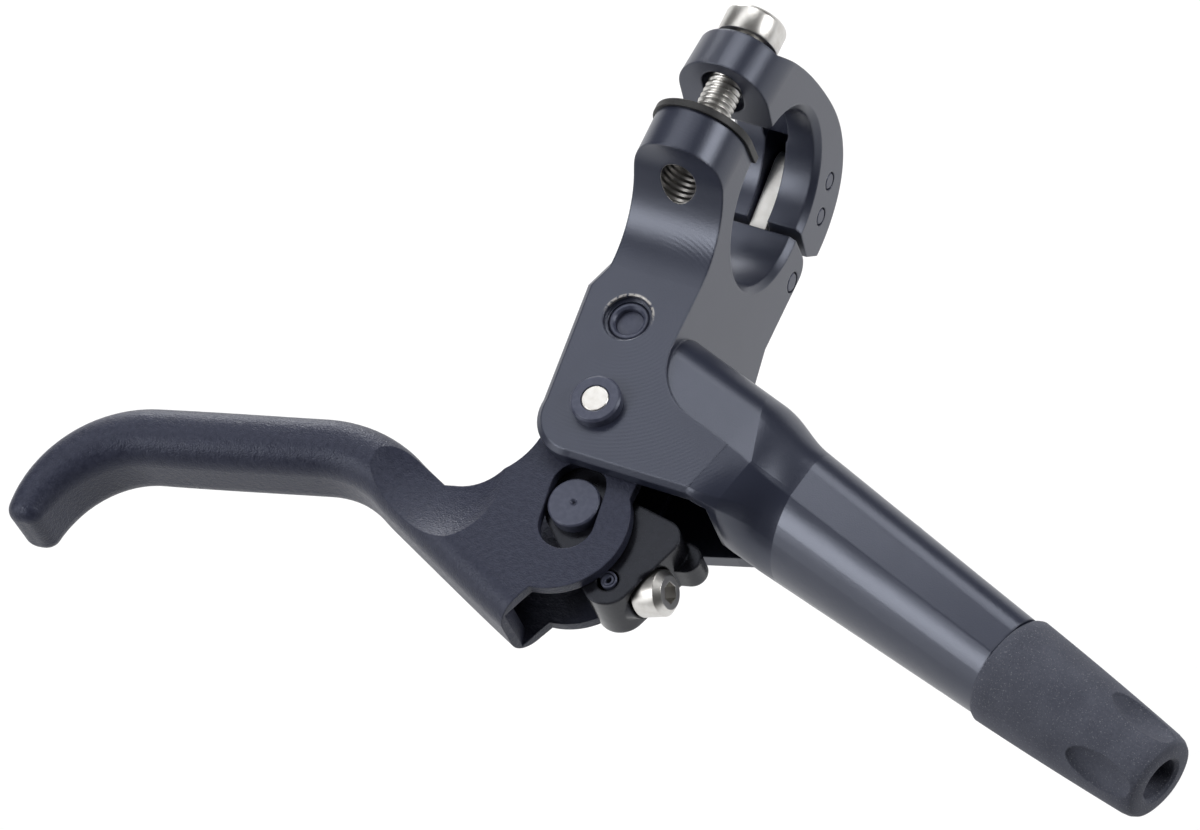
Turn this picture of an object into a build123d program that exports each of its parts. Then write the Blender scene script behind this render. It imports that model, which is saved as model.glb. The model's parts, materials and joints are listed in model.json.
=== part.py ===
from build123d import *
import os
from math import cos, radians, sin, sqrt

# Hydraulic brake lever for a flat handlebar, in millimetres.
# The origin is on the handlebar's axis, at mid-width of the clamp. X runs along the bar towards the hose,
# Z along the lever's axle, and Y from the lever towards the bar.

# Handlebar clamp
bar_diameter = 22.2
bar_chamfer = 0.8
bracket_width = 13.0
bolt_height = 15.3
lug_top = -0.2
lug_overhang = 6.5
scoop_radius = 12.2
scoop_y = -18.3
bracket_back = 18.2
jaw_end = 1.6
hinge_y = -2.2
hinge_z = -16.6
hinge_pin_diameter = 3.0
strap_thickness = 2.4
strap_gap = 0.35
strap_radius = 2.6
stopper_thickness = 1.0
stopper_overhang = 0.4

# Clamp band
band_opening = 9.0
band_face_gap = 0.7
band_lug_height = 6.0
band_crest = 18.9
band_pin_diameter = 2.6
band_pin_inset = 2.2
pin_chamfer = 0.35
runout_depth = 0.5
runout_length = 9.0
runout_width = 3.8
upper_pin_y = 11.4
upper_pin_z = -11.0
lower_pin_y = 7.6
lower_pin_z = -14.1
seat_gap = 0.6

# Clamp bolt
bolt_thread = 5.0
bolt_head_diameter = 8.5
bolt_head_height = 3.9
bolt_head_gap = 0.8
bolt_hexagon = 4.0
bolt_length = 16.0
bolt_hole_gap = 0.4
bolt_socket = 2.4

# Pivots of the lever and the link
lever_pivot_x = -1.0
lever_pivot_y = -25.0
link_length = 12.8
link_tilt = 7.5
lever_travel = 18.0
plate_half = 8.8
plate_wall = 2.5
plate_bevel = 0.7
side_gap = 0.3
running_gap = 0.04
lever_axle_diameter = 5.6
lever_axle_bore = 3.8
axle_recess_diameter = 6.5
axle_recess_depth = 0.8
link_axle_diameter = 3.8
collar_diameter = 6.8
collar_height = 1.6
collar_neck_diameter = 5.2

# Lever blade
lever_wall = 1.6
boss_radius = 5.6
blade_thickness = 8.1
blade_width = 11.9
blade_heel_x = -34.6
blade_heel_y = -52.4
blade_run = 23.8
blade_slope = 14.0
tip_radius = 15.5
tip_turn = 84.0
tip_thickness = 4.6
tip_width = 10.4
tip_round = 2.0
heel_radius = 16.7
heel_turn = 41.8
web_bend_radius = 35.0
web_bend_turn = 3.8
web_length = 24.0
wall_end_x = 1.2
wall_end_y = -53.3
wall_end_radius = 9.8
dish_radius = 18.0
dish_depth = 2.6
dish_x = -17.0
dish_y = -52.5
blade_round = 3.6
lever_bush_diameter = 7.4
bush_flange = 0.8
axle_pass_gap = 0.4
cam_diameter = 6.9
cam_slot_gap = 0.3
cam_slot_inward = 2.0
cam_slot_outward = 2.9

# Master cylinder, drawn along its own axis
tube_angle = 18.4
push_arm = 6.0
barrel_start = 1.5
shoulder_start = 17.5
shoulder_end = 27.2
shoulder_steps = 4
tube_end = 63.5
tube_taper = 0.814
tube_twist = 5.0
plate_overlap = 0.3

# Outline of the cylinder body round its axis, as (side, height): ridge, flank, corner, bevel, edge, cheek,
# side, keel, low right, high right, brow and crown. It changes from the barrel's form to the tube's.
barrel_form = ((-0.2, 8.77), (-3.9, 8.785), (-7.6, 8.77), (-8.04, 8.47), (-8.4, 8.08), (-8.42, 3.5),
               (-8.4, -1.0), (0.7, -10.5), (9.83, -1.0), (9.83, 2.36), (8.54, 5.9), (5.33, 7.77))
tube_form = ((-0.75, 8.4), (-2.61, 7.81), (-4.31, 6.86), (-5.29, 6.08), (-6.15, 5.17), (-7.82, 2.28),
             (-8.4, -1.0), (-0.26, -9.14), (7.88, -1.0), (7.88, 3.28), (6.7, 6.36), (3.83, 7.85))
cylinder_bore = 10.0
bore_end = 53.0
outlet_diameter = 3.0
port_diameter = 7.0
port_depth = 8.0
spigot_diameter = 11.2
spigot_length = 5.0

# Piston and what drives it
piston_start = 18.0
piston_length = 20.0
seal_width = 2.0
seal_groove_diameter = 7.0
nose_radius = 1.8
arm_half = 1.0
nose_gap = 0.3
rod_head_diameter = 4.4
rod_head_length = 1.5
rod_diameter = 3.0
washer_thickness = 1.0
washer_gap = 0.5
washer_groove = 0.5
washer_hole = 5.6
seal_inset = 1.5
rod_socket = 3.0
spring_wire = 0.9
spring_coil = 7.2
spring_turns = 5

# Reservoir on the far side
reservoir_length = 38.0
reservoir_width = 12.6
reservoir_middle = 23.5
reservoir_offset = 4.2
reservoir_top = 9.0
reservoir_neck = 9.0
reservoir_depth = 20.5
reservoir_corner = 6.0
pocket_length = 24.0
pocket_wall = 1.7
pocket_floor = 11.0
diaphragm_thickness = 1.0
diaphragm_height = 4.0
cover_thickness = 2.2
cover_screw_diameter = 3.0
cover_screw_head = 5.4
cover_screw_height = 1.6
cover_screw_depth = 5.0
cover_screw_inset = 4.0
bleed_diameter = 5.0
bleed_head = 6.8
bleed_height = 1.6
bleed_rise = 8.1
bleed_depth = 4.0
bleed_drill = 1.6
bleed_boss = 7.6
bleed_boss_rise = 0.4

# Hose boot
boot_length = 25.0
boot_diameter = 14.9
boot_tip_diameter = 11.8
boot_waist = 0.4
boot_waist_diameter = 13.8
boot_edge = 0.6
hose_hole = 5.0
nut_hexagon = 8.0
nut_height = 4.0
nut_hole = 5.8
nut_room = 0.3
dimple_place = 81.0
dimple_radius = 12.0
dimple_depth = 1.0
dimple_turn = 37.0

# Cam link and reach screw
link_boss_radius = 3.4
link_bush_diameter = 5.2
cam_boss_radius = 4.2
cam_shank_diameter = 4.0
cam_cap_depth = 1.2
lobe_x = 10.6
lobe_y = -58.4
lobe_radius = 3.4
hood_x = 14.6
hood_y = -50.8
hood_radius = 2.6
hood_reach = 2.6
hood_end_radius = 2.0
reach_x = 13.8
reach_y = -57.4
reach_z = 0.2
reach_aside = 0.93
reach_rise = 0.2
reach_tilt = 0.3
reach_boss_radius = 3.1
reach_boss_length = 4.2
reach_head_diameter = 6.0
reach_head_length = 4.2
reach_thread = 3.0
reach_length = 7.0
reach_hexagon = 2.0
spring_pin_diameter = 3.0
spring_pin_length = 2.8

os.makedirs("parts", exist_ok=True)


def turned(vector, angle):
    """A flat vector turned about Z."""
    return vector.rotate(Axis.Z, angle)


# Places that several pieces share
bar_radius = bar_diameter / 2
half_width = bracket_width / 2
cavity_half = plate_half - plate_wall
lever_half = cavity_half - side_gap
channel_half = lever_half - lever_wall
link_half = channel_half - side_gap
lever_pivot = Vector(lever_pivot_x, lever_pivot_y)
link_way = turned(Vector(0, -1), link_tilt)
link_pivot = lever_pivot + link_way * link_length
cam_point = link_pivot + link_way * link_length
tube_way = turned(Vector(1, 0), -tube_angle)
tube_side = turned(Vector(0, 1), -tube_angle)
tube_origin = link_pivot + tube_side * push_arm
tube_floor = Plane(origin=tube_origin, x_dir=tube_way, z_dir=(0, 0, 1))
lug_reach = bolt_height + lug_overhang


def tube_plane(distance):
    """A plane square to the cylinder's axis: its x points to the bar, its y along Z."""
    return Plane(origin=tube_origin + tube_way * distance, x_dir=tube_side, z_dir=tube_way)


def tube_point(distance, side):
    """A flat point beside the cylinder's axis."""
    return tube_origin + tube_way * distance + tube_side * side


screw_reach = reservoir_length / 2 - cover_screw_inset
cover_screw_places = [(reservoir_middle + way * screw_reach, reservoir_offset) for way in (-1, 1)]
bleed_place = reservoir_middle + reservoir_length / 2 + bleed_boss_rise
bleed_point = tube_point(bleed_place, reservoir_offset) + Vector(0, 0, bleed_rise - reservoir_depth)
bleed_plane = Plane(origin=bleed_point, x_dir=(0, 0, 1), z_dir=tube_way)

# Lever body: plates, bracket, barrel and reservoir as one casting
with BuildPart() as lever_body:
    with BuildSketch(Plane.XY.offset(-plate_half)) as plate_outline:
        with BuildLine():
            ridge_side, edge_side = barrel_form[0][0], barrel_form[4][0]
            step_low = tube_point(11.0, ridge_side)
            step_high = Vector(half_width, lever_pivot_y - 0.5)
            plate_corner = tube_point(shoulder_start + plate_overlap, ridge_side)
            plate_low = tube_point(shoulder_start + plate_overlap, edge_side)
            low_edge = Line((0, -45.6), plate_low)
            low_corner = ThreePointArc((-6.8, -39.0), (-5.0, -44.0), (0, -45.6))
            left_edge = Polyline((-6.8, -39.0), (-8.4, -21.8), (-half_width, -17.0), (-half_width, -14.0))
            top_edge = Polyline((-half_width, -14.0), (half_width, -14.0), step_high)
            step = ThreePointArc(step_high, tube_point(5.5, 1.6), step_low)
            crease = Line(step_low, plate_corner)
            plate_end = Line(plate_corner, plate_low)
        make_face()
    extrude(amount=2 * plate_half)
    plate_rims = lever_body.edges().filter_by(Axis.Z, reverse=True)
    plate_rims = plate_rims.filter_by(lambda edge: edge.center().X < -4 or edge.center().Y < -43)
    chamfer(plate_rims, length=plate_bevel)

    with BuildSketch(Plane.XY.offset(-plate_half)) as far_plate:
        with BuildLine():
            Polyline((-6.8, -39.0), (-4.0, -45.0), (2.0, -47.6), (16.0, -47.6), (24.0, -45.4), (20.0, -36.0),
                     close=True)
        make_face()
        fillet(far_plate.vertices().group_by(Axis.Y)[0], radius=2.0)
    extrude(amount=plate_wall)

    with BuildSketch(Plane.YZ) as bracket_profile:
        scoop_z = plate_half + scoop_radius
        scoop_top = scoop_y + sqrt(scoop_radius**2 - (scoop_z - lug_reach) ** 2)
        with BuildLine():
            Polyline((-30.0, plate_half), (scoop_y, plate_half))
            scoop_middle = Vector(scoop_y, scoop_z) + Vector(scoop_radius, 0).rotate(Axis.Z, -45)
            ThreePointArc((scoop_y, plate_half), scoop_middle, (scoop_top, lug_reach))
            Polyline((scoop_top, lug_reach), (lug_top, lug_reach), (lug_top, 0), (jaw_end, 0),
                     (jaw_end, -bracket_back), (-12.0, -bracket_back), (-17.0, -reservoir_depth),
                     (-24.0, -reservoir_depth), (-34.0, -plate_half), (-30.0, -cavity_half),
                     (-30.0, plate_half))
        make_face()
        fillet(bracket_profile.vertices().sort_by_distance((jaw_end, -bracket_back))[0], radius=2.4)
        Circle(bar_radius, mode=Mode.SUBTRACT)
    extrude(amount=half_width, both=True)
    bore_rims = lever_body.edges().filter_by(GeomType.CIRCLE)
    bore_rims = bore_rims.filter_by(lambda edge: abs(edge.radius - bar_radius) < 0.01)
    chamfer(bore_rims.filter_by(lambda edge: abs(edge.center().X) > half_width - 0.1), length=bar_chamfer)
    lug_edges = lever_body.edges().filter_by(Axis.Y).group_by(Axis.Z)[-1]
    fillet(lug_edges, radius=half_width - 0.05)

    # Barrel, shoulder and tapered tube: the shoulder's sections change gently from one form to the other
    shoulder = [step / shoulder_steps for step in range(shoulder_steps + 1)]
    shoulder_length = shoulder_end - shoulder_start
    for sections in (
        [(barrel_start, 0, 1, 0), (shoulder_start, 0, 1, 0)],
        [(shoulder_start + step * shoulder_length, step * step * (3 - 2 * step), 1, 0) for step in shoulder],
        [(shoulder_end, 1, 1, 0), (tube_end, 1, tube_taper, tube_twist)],
    ):
        for place, share, scale, twist in sections:
            ridge, flank, corner, bevel, edge, cheek, side, keel, low, high, brow, crown = [
                turned(Vector(*barrel) * (1 - share) + Vector(*tube) * share, twist) * scale
                for barrel, tube in zip(barrel_form, tube_form)
            ]
            with BuildSketch(tube_plane(place)):
                with BuildLine():
                    ThreePointArc(ridge, flank, corner)
                    ThreePointArc(corner, bevel, edge)
                    ThreePointArc(edge, cheek, side)
                    ThreePointArc(side, keel, low)
                    Line(low, high)
                    ThreePointArc(high, brow, crown)
                    Line(crown, ridge)
                make_face()
        loft()

    with BuildSketch(tube_plane(tube_end)):
        Circle(spigot_diameter / 2)
    extrude(amount=spigot_length)

    # Reservoir block under the barrel
    with BuildSketch(tube_floor.offset(-reservoir_depth)):
        with Locations((reservoir_middle, reservoir_offset)):
            RectangleRounded(reservoir_length, reservoir_width, reservoir_corner)
    extrude(amount=reservoir_depth - reservoir_top)
    with BuildSketch(tube_floor.offset(-reservoir_top)):
        with Locations((reservoir_middle, reservoir_offset - (reservoir_width - reservoir_neck) / 2)):
            RectangleRounded(reservoir_length, reservoir_neck, reservoir_neck / 2 - 0.1)
    extrude(amount=reservoir_top - 2.0)
    with BuildSketch(bleed_plane):
        Circle(bleed_boss / 2)
    extrude(amount=-reservoir_corner)

    # Space for the lever and the link between the plates
    with BuildSketch(Plane.XY.offset(-cavity_half)):
        with Locations(lever_pivot):
            Circle(boss_radius + 0.5)
        with BuildLine():
            Polyline((-25.0, -70.0), (-25.0, lever_pivot_y), lever_pivot,
                     (lever_pivot_x + boss_radius + 0.4, lever_pivot_y), tube_point(9.0, 3.0),
                     tube_point(9.0, -1.0), tube_point(22.0, -9.0), (30.0, -70.0), close=True)
        make_face()
    extrude(amount=2 * cavity_half, mode=Mode.SUBTRACT)

    # Cylinder bore, washer groove, outlet and hose port
    with BuildSketch(tube_plane(5.0)):
        Circle(cylinder_bore / 2)
    extrude(amount=bore_end - 5.0, mode=Mode.SUBTRACT)
    with BuildSketch(tube_plane(piston_start - washer_thickness - washer_gap)):
        Circle(cylinder_bore / 2 + washer_groove)
    extrude(amount=washer_thickness, mode=Mode.SUBTRACT)
    with BuildSketch(tube_plane(bore_end)):
        Circle(outlet_diameter / 2)
    extrude(amount=tube_end + spigot_length - bore_end, mode=Mode.SUBTRACT)
    with BuildSketch(tube_plane(tube_end + spigot_length)):
        Circle(port_diameter / 2)
    extrude(amount=-port_depth, mode=Mode.SUBTRACT)

    # Reservoir pocket with its two ports into the bore
    with BuildSketch(tube_floor.offset(-reservoir_depth)):
        with Locations((reservoir_middle, reservoir_offset)):
            RectangleRounded(pocket_length, reservoir_width - 2 * pocket_wall, reservoir_corner - pocket_wall)
    extrude(amount=reservoir_depth - pocket_floor, mode=Mode.SUBTRACT)
    with BuildSketch(tube_floor.offset(-pocket_floor - 1.0)):
        with Locations((24.0, 0), (28.5, 0)):
            Circle(0.8)
    extrude(amount=pocket_floor, mode=Mode.SUBTRACT)

    # Holes for the cover screws and the bleed screw
    with BuildSketch(tube_floor.offset(-reservoir_depth)):
        with Locations(*cover_screw_places):
            Circle(cover_screw_diameter / 2)
    extrude(amount=cover_screw_depth, mode=Mode.SUBTRACT)
    with BuildSketch(bleed_plane):
        Circle(bleed_diameter / 2)
    extrude(amount=-bleed_depth, mode=Mode.SUBTRACT)
    with BuildSketch(bleed_plane):
        Circle(bleed_drill / 2)
    extrude(amount=-reservoir_length / 2, mode=Mode.SUBTRACT)

    # Seat for the far collar, and holes for the two axles, the clamp bolt and the hinge
    with BuildSketch(Plane.XY.offset(-plate_half)):
        with Locations(link_pivot):
            Circle(collar_diameter / 2 + side_gap)
    extrude(amount=-collar_height - side_gap, mode=Mode.SUBTRACT)
    with Locations(Plane.XY.offset(plate_half)):
        with Locations(lever_pivot):
            axle_radius = lever_axle_diameter / 2
            CounterBoreHole(axle_radius, axle_recess_diameter / 2, axle_recess_depth, 2 * plate_half)
        with Locations(link_pivot):
            Hole(collar_neck_diameter / 2, 2 * plate_half + 0.5)
    with BuildSketch(Plane.XZ.offset(-lug_top)):
        with Locations((0, bolt_height)):
            Circle(bolt_thread / 2 + running_gap)
    extrude(amount=20.0, mode=Mode.SUBTRACT)
    with BuildSketch(Plane.YZ):
        slot_back = hinge_y - strap_radius - side_gap
        slot_low = hinge_z - strap_radius - side_gap
        with BuildLine():
            Polyline((slot_back, slot_low), (slot_back, -13.7), (-3.0, -13.5), (2.0, -11.6), (6.0, -10.0),
                     (6.0, slot_low), close=True)
        make_face()
    extrude(amount=strap_thickness / 2 + strap_gap, both=True, mode=Mode.SUBTRACT)
    with BuildSketch(Plane.YZ):
        with Locations((hinge_y, hinge_z)):
            Circle(hinge_pin_diameter / 2)
    extrude(amount=half_width, both=True, mode=Mode.SUBTRACT)

lever_body.part.label = "lever_body"
export_step(lever_body.part, "parts/lever_body.step")

# Spine of the lever blade: the hooked tip, a straight run, the heel and the web below the walls
heel_point = Vector(blade_heel_x, blade_heel_y)
run_way = turned(Vector(1, 0), blade_slope)
with BuildLine() as spine:
    run = Line(heel_point, heel_point - run_way * blade_run)
    tip = JernArc(run @ 1, run % 1, tip_radius, tip_turn)
    tip_way = turned(run_way, tip_turn)
    heel = JernArc(heel_point, run_way, heel_radius, -heel_turn)
    heel_way = turned(run_way, -heel_turn)
    web_bend = JernArc(heel @ 1, heel_way, web_bend_radius, web_bend_turn)
    web_way = turned(heel_way, web_bend_turn)
    web = Line(web_bend @ 1, web_bend @ 1 + web_way * web_length)

# Lever blade: a forging with a hooked blade, a dished root and two walls that straddle the link
cam_slot_half = (cam_diameter / 2) + cam_slot_gap
with BuildPart() as lever_blade:
    with BuildSketch(Plane.XY.offset(-lever_half)) as root_outline:
        wall_end = Vector(wall_end_x, wall_end_y)
        wall_low = wall_end + Vector(0.8, -wall_end_radius)
        with BuildLine():
            boss = CenterArc(lever_pivot, boss_radius, -5, 185)
            back = Line(boss @ 1, (-5.8, -42.5))
            bay = ThreePointArc(back @ 1, (-8.8, -49.2), (-15.0, -52.2))
            web_line = Polyline(bay @ 1, heel @ 1, web_bend @ 1, web @ 1, wall_low)
            end_arc = ThreePointArc(
                wall_low,
                wall_end + turned(Vector(wall_end_radius, 0), -35),
                wall_end + turned(Vector(wall_end_radius, 0), 35),
            )
            Polyline(end_arc @ 1, (9.3, -37.0), boss @ 0)
        make_face()
    extrude(amount=2 * lever_half)

    # Blade: rounded sections swept along the spine and thinner towards the tip, which is rounded off
    for place, way, thickness, width in (
        (tip @ 1, tip_way, tip_thickness, tip_width),
        (run @ 1, run_way, blade_thickness, blade_width),
        (heel_point, run_way, blade_thickness, blade_width),
        (heel @ 1, heel_way, blade_thickness, blade_width),
        (web @ 1, web_way, blade_thickness, blade_width),
    ):
        with BuildSketch(Plane(origin=place, x_dir=(0, 0, 1), z_dir=way)):
            RectangleRounded(width, thickness, blade_round * thickness / blade_thickness)
    blade = sweep(path=spine.wire(), multisection=True, mode=Mode.PRIVATE)
    add(blade.fillet(tip_round, blade.faces().sort_by(Axis.X)[0].edges()))

    # Dish on both sides of the root, shallow towards the walls and steep towards the blade
    for side in (1, -1):
        dish_height = side * (lever_half + dish_radius - dish_depth)
        with Locations((dish_x, dish_y, dish_height)):
            Sphere(dish_radius, mode=Mode.SUBTRACT)

    # Channel between the walls, open towards the link
    with BuildSketch(Plane.XY.offset(-channel_half)):
        with BuildLine():
            Polyline((-9.0, -56.0), (-9.0, -61.5), (-0.6, -65.0), (2.0, -75.0), (20.0, -75.0), (20.0, -15.0),
                     (-15.0, -15.0), (-15.0, -44.0), (-9.0, -50.0), close=True)
        make_face()
    extrude(amount=2 * channel_half, mode=Mode.SUBTRACT)

    # Slots for the cam pin, holes for the axle bushes and room for the link's axle to pass
    with BuildSketch(Plane.XY.offset(-lever_half)):
        with BuildLine():
            slot_way = Line(cam_point - link_way * cam_slot_inward, cam_point + link_way * cam_slot_outward)
            offset(amount=cam_slot_half, side=Side.BOTH)
        make_face()
        with Locations(lever_pivot):
            Circle(lever_bush_diameter / 2)
        with BuildLine():
            pass_arc = CenterArc(lever_pivot, link_length, link_tilt - 90, lever_travel)
            offset(amount=link_axle_diameter / 2 + axle_pass_gap, side=Side.BOTH)
        make_face()
    extrude(amount=2 * lever_half, mode=Mode.SUBTRACT)

lever_blade.part.label = "lever_blade"
export_step(lever_blade.part, "parts/lever_blade.step")

# Axle of the lever: a hollow pin sunk below the near plate, running in two flanged bushes
axle_top = plate_half - axle_recess_depth
with BuildPart() as lever_axle:
    with BuildSketch(Plane.XY.offset(axle_top)):
        with Locations(lever_pivot):
            Circle(lever_axle_diameter / 2)
    extrude(amount=-(axle_top + plate_half))
    with BuildSketch(Plane.XY.offset(axle_top)):
        with Locations(lever_pivot):
            Circle(lever_axle_bore / 2)
    extrude(amount=-plate_half, mode=Mode.SUBTRACT)
    chamfer(lever_axle.edges().group_by(Axis.Z)[-1], length=0.3)
lever_axle.part.label = "lever_axle"
export_step(lever_axle.part, "parts/lever_axle.step")

with BuildPart() as lever_bushes:
    for side in (1, -1):
        with BuildSketch(Plane.XY.offset(side * lever_half)):
            with Locations(lever_pivot):
                Circle(lever_bush_diameter / 2)
        extrude(amount=-side * lever_wall)
        with BuildSketch(Plane.XY.offset(side * channel_half)):
            with Locations(lever_pivot):
                Circle(lever_bush_diameter / 2 + bush_flange)
        extrude(amount=-side * bush_flange)
    with BuildSketch(Plane.XY.offset(-lever_half)):
        with Locations(lever_pivot):
            Circle(lever_axle_diameter / 2 + running_gap)
    extrude(amount=2 * lever_half, mode=Mode.SUBTRACT)
lever_bushes.part.label = "lever_bushes"
export_step(lever_bushes.part, "parts/lever_bushes.step")

# Axle of the link: a bright pin held in two black collars, with a bush in the link
collar_top = plate_half + collar_height
with BuildPart() as link_axle:
    with BuildSketch(Plane.XY.offset(-collar_top)):
        with Locations(link_pivot):
            Circle(link_axle_diameter / 2)
    extrude(amount=2 * collar_top)
    chamfer(link_axle.edges(), length=0.2)
link_axle.part.label = "link_axle"
export_step(link_axle.part, "parts/link_axle.step")

with BuildPart() as axle_collars:
    for side in (1, -1):
        with BuildSketch(Plane.XY.offset(side * cavity_half)):
            with Locations(link_pivot):
                Circle(collar_neck_diameter / 2)
        extrude(amount=side * (collar_top - cavity_half))
        with BuildSketch(Plane.XY.offset(side * plate_half)):
            with Locations(link_pivot):
                Circle(collar_diameter / 2)
        extrude(amount=side * collar_height)
    rims = axle_collars.edges().group_by(Axis.Z)
    chamfer(rims[-1] + rims[0], length=0.3)
    with BuildSketch(Plane.XY.offset(-collar_top)):
        with Locations(link_pivot):
            Circle(link_axle_diameter / 2)
    extrude(amount=2 * collar_top, mode=Mode.SUBTRACT)
axle_collars.part.label = "axle_collars"
export_step(axle_collars.part, "parts/axle_collars.step")

with BuildPart() as link_bush:
    with BuildSketch(Plane.XY.offset(-link_half)):
        with Locations(link_pivot):
            Circle(link_bush_diameter / 2)
            Circle(link_axle_diameter / 2 + running_gap, mode=Mode.SUBTRACT)
    extrude(amount=2 * link_half)
link_bush.part.label = "link_bush"
export_step(link_bush.part, "parts/link_bush.step")

# Cam link: a short arm that pushes the rod, a long arm to the cam pin and a block for the reach screw
reach_way = Vector(reach_aside, reach_rise, reach_tilt).normalized()
reach_origin = Vector(reach_x, reach_y, reach_z)
reach_plane = Plane(origin=reach_origin, x_dir=(0, 0, 1), z_dir=reach_way)
nose_point = link_pivot + turned(tube_side, lever_travel) * push_arm
lobe_point = Vector(lobe_x, lobe_y)
hood_point = Vector(hood_x, hood_y)
with BuildPart() as cam_link:
    for outline in (
        ((link_pivot, arm_half), (nose_point, arm_half)),
        ((link_pivot, link_boss_radius), (cam_point, cam_boss_radius)),
        ((cam_point, cam_boss_radius), (lobe_point, lobe_radius), (hood_point, hood_radius)),
    ):
        with BuildSketch(Plane.XY.offset(-link_half)):
            for centre, radius in outline:
                with Locations(centre):
                    Circle(radius)
            make_hull()
        extrude(amount=2 * link_half)
    with BuildSketch(Plane.XY.offset(-link_half)):
        with Locations(nose_point):
            Circle(nose_radius)
    extrude(amount=2 * link_half)
    with BuildSketch(Plane.XY.offset(-link_half)):
        hood_end = hood_point + Vector(hood_reach, 0)
        for centre, radius in ((hood_point, hood_radius), (hood_end, hood_end_radius)):
            with Locations(centre):
                Circle(radius)
        make_hull()
    extrude(amount=link_half)
    with BuildSketch(reach_plane):
        Circle(reach_boss_radius)
    extrude(amount=-reach_boss_length)
    with BuildSketch(reach_plane):
        Circle(reach_head_diameter / 2 + side_gap + running_gap)
    extrude(amount=2 * reach_head_length, mode=Mode.SUBTRACT)
    with BuildSketch(reach_plane):
        Circle(reach_thread / 2 + running_gap)
    extrude(amount=-reach_length - side_gap, mode=Mode.SUBTRACT)
    with BuildSketch(Plane.XY.offset(-link_half)):
        with Locations(link_pivot):
            Circle(link_bush_diameter / 2)
        with Locations(cam_point):
            Circle(cam_shank_diameter / 2)
    extrude(amount=2 * link_half, mode=Mode.SUBTRACT)
    with BuildSketch(Plane.XY.offset(link_half)):
        with Locations(lobe_point):
            Circle(spring_pin_diameter / 2)
    extrude(amount=-spring_pin_length, mode=Mode.SUBTRACT)
cam_link.part.label = "cam_link"
export_step(cam_link.part, "parts/cam_link.step")

# Cam pin: its head runs in the near wall's slot, its cap in the far wall's
cam_reach = lever_half - 0.1
with BuildPart() as cam_pin:
    with BuildSketch(Plane.XY.offset(link_half)):
        with Locations(cam_point):
            Circle(cam_diameter / 2)
    extrude(amount=cam_reach - link_half)
    chamfer(cam_pin.edges().group_by(Axis.Z)[-1], length=0.2)
    with BuildSketch(Plane.XY.offset(link_half)):
        with Locations(cam_point):
            Circle(cam_shank_diameter / 2)
    extrude(amount=-2 * link_half - cam_cap_depth)
    with Locations(Plane.XY.offset(cam_reach)):
        with Locations(cam_point):
            CounterSinkHole(0.2, 0.5, 0.5)
cam_pin.part.label = "cam_pin"
export_step(cam_pin.part, "parts/cam_pin.step")

with BuildPart() as cam_cap:
    with BuildSketch(Plane.XY.offset(-link_half)):
        with Locations(cam_point):
            Circle(cam_diameter / 2)
    extrude(amount=-(cam_reach - link_half))
    chamfer(cam_cap.edges().group_by(Axis.Z)[0], length=0.2)
    with BuildSketch(Plane.XY.offset(-link_half)):
        with Locations(cam_point):
            Circle(cam_shank_diameter / 2)
    extrude(amount=-cam_cap_depth, mode=Mode.SUBTRACT)
cam_cap.part.label = "cam_cap"
export_step(cam_cap.part, "parts/cam_cap.step")

with BuildPart() as spring_pin:
    with BuildSketch(Plane.XY.offset(link_half)):
        with Locations(lobe_point):
            Circle(spring_pin_diameter / 2)
            Circle(spring_pin_diameter / 2 - 0.7, mode=Mode.SUBTRACT)
            Rectangle(spring_pin_diameter, 0.3, align=(Align.MIN, Align.CENTER), mode=Mode.SUBTRACT)
    extrude(amount=-spring_pin_length)
spring_pin.part.label = "spring_pin"
export_step(spring_pin.part, "parts/spring_pin.step")

# Reach screw with its chamfered socket head
with BuildPart() as reach_screw:
    with BuildSketch(reach_plane.offset(side_gap)):
        Circle(reach_head_diameter / 2)
    extrude(amount=reach_head_length)
    chamfer(reach_screw.edges().filter_by(GeomType.CIRCLE), length=0.7)
    with BuildSketch(reach_plane.offset(side_gap)):
        Circle(reach_thread / 2)
    extrude(amount=-reach_length)
    with BuildSketch(reach_plane.offset(side_gap + reach_head_length)):
        RegularPolygon(reach_hexagon / 2, 6, major_radius=False)
    extrude(amount=-2.4, mode=Mode.SUBTRACT)
reach_screw.part.label = "reach_screw"
export_step(reach_screw.part, "parts/reach_screw.step")

# Push rod, piston, seals, spring and stop washer on the cylinder's axis
rod_face = nose_radius + nose_gap - push_arm * sin(radians(lever_travel))
rod_tip = piston_start + rod_socket
with BuildPart() as push_rod:
    with BuildSketch(tube_plane(rod_face)):
        Circle(rod_head_diameter / 2)
    extrude(amount=rod_head_length)
    with BuildSketch(tube_plane(rod_face)):
        Circle(rod_diameter / 2)
    extrude(amount=rod_tip - rod_face)
    rod_rims = push_rod.edges().filter_by(GeomType.CIRCLE).sort_by(Axis(tube_origin, tube_way))
    chamfer(rod_rims[-1], length=0.6)
push_rod.part.label = "push_rod"
export_step(push_rod.part, "parts/push_rod.step")

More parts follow.
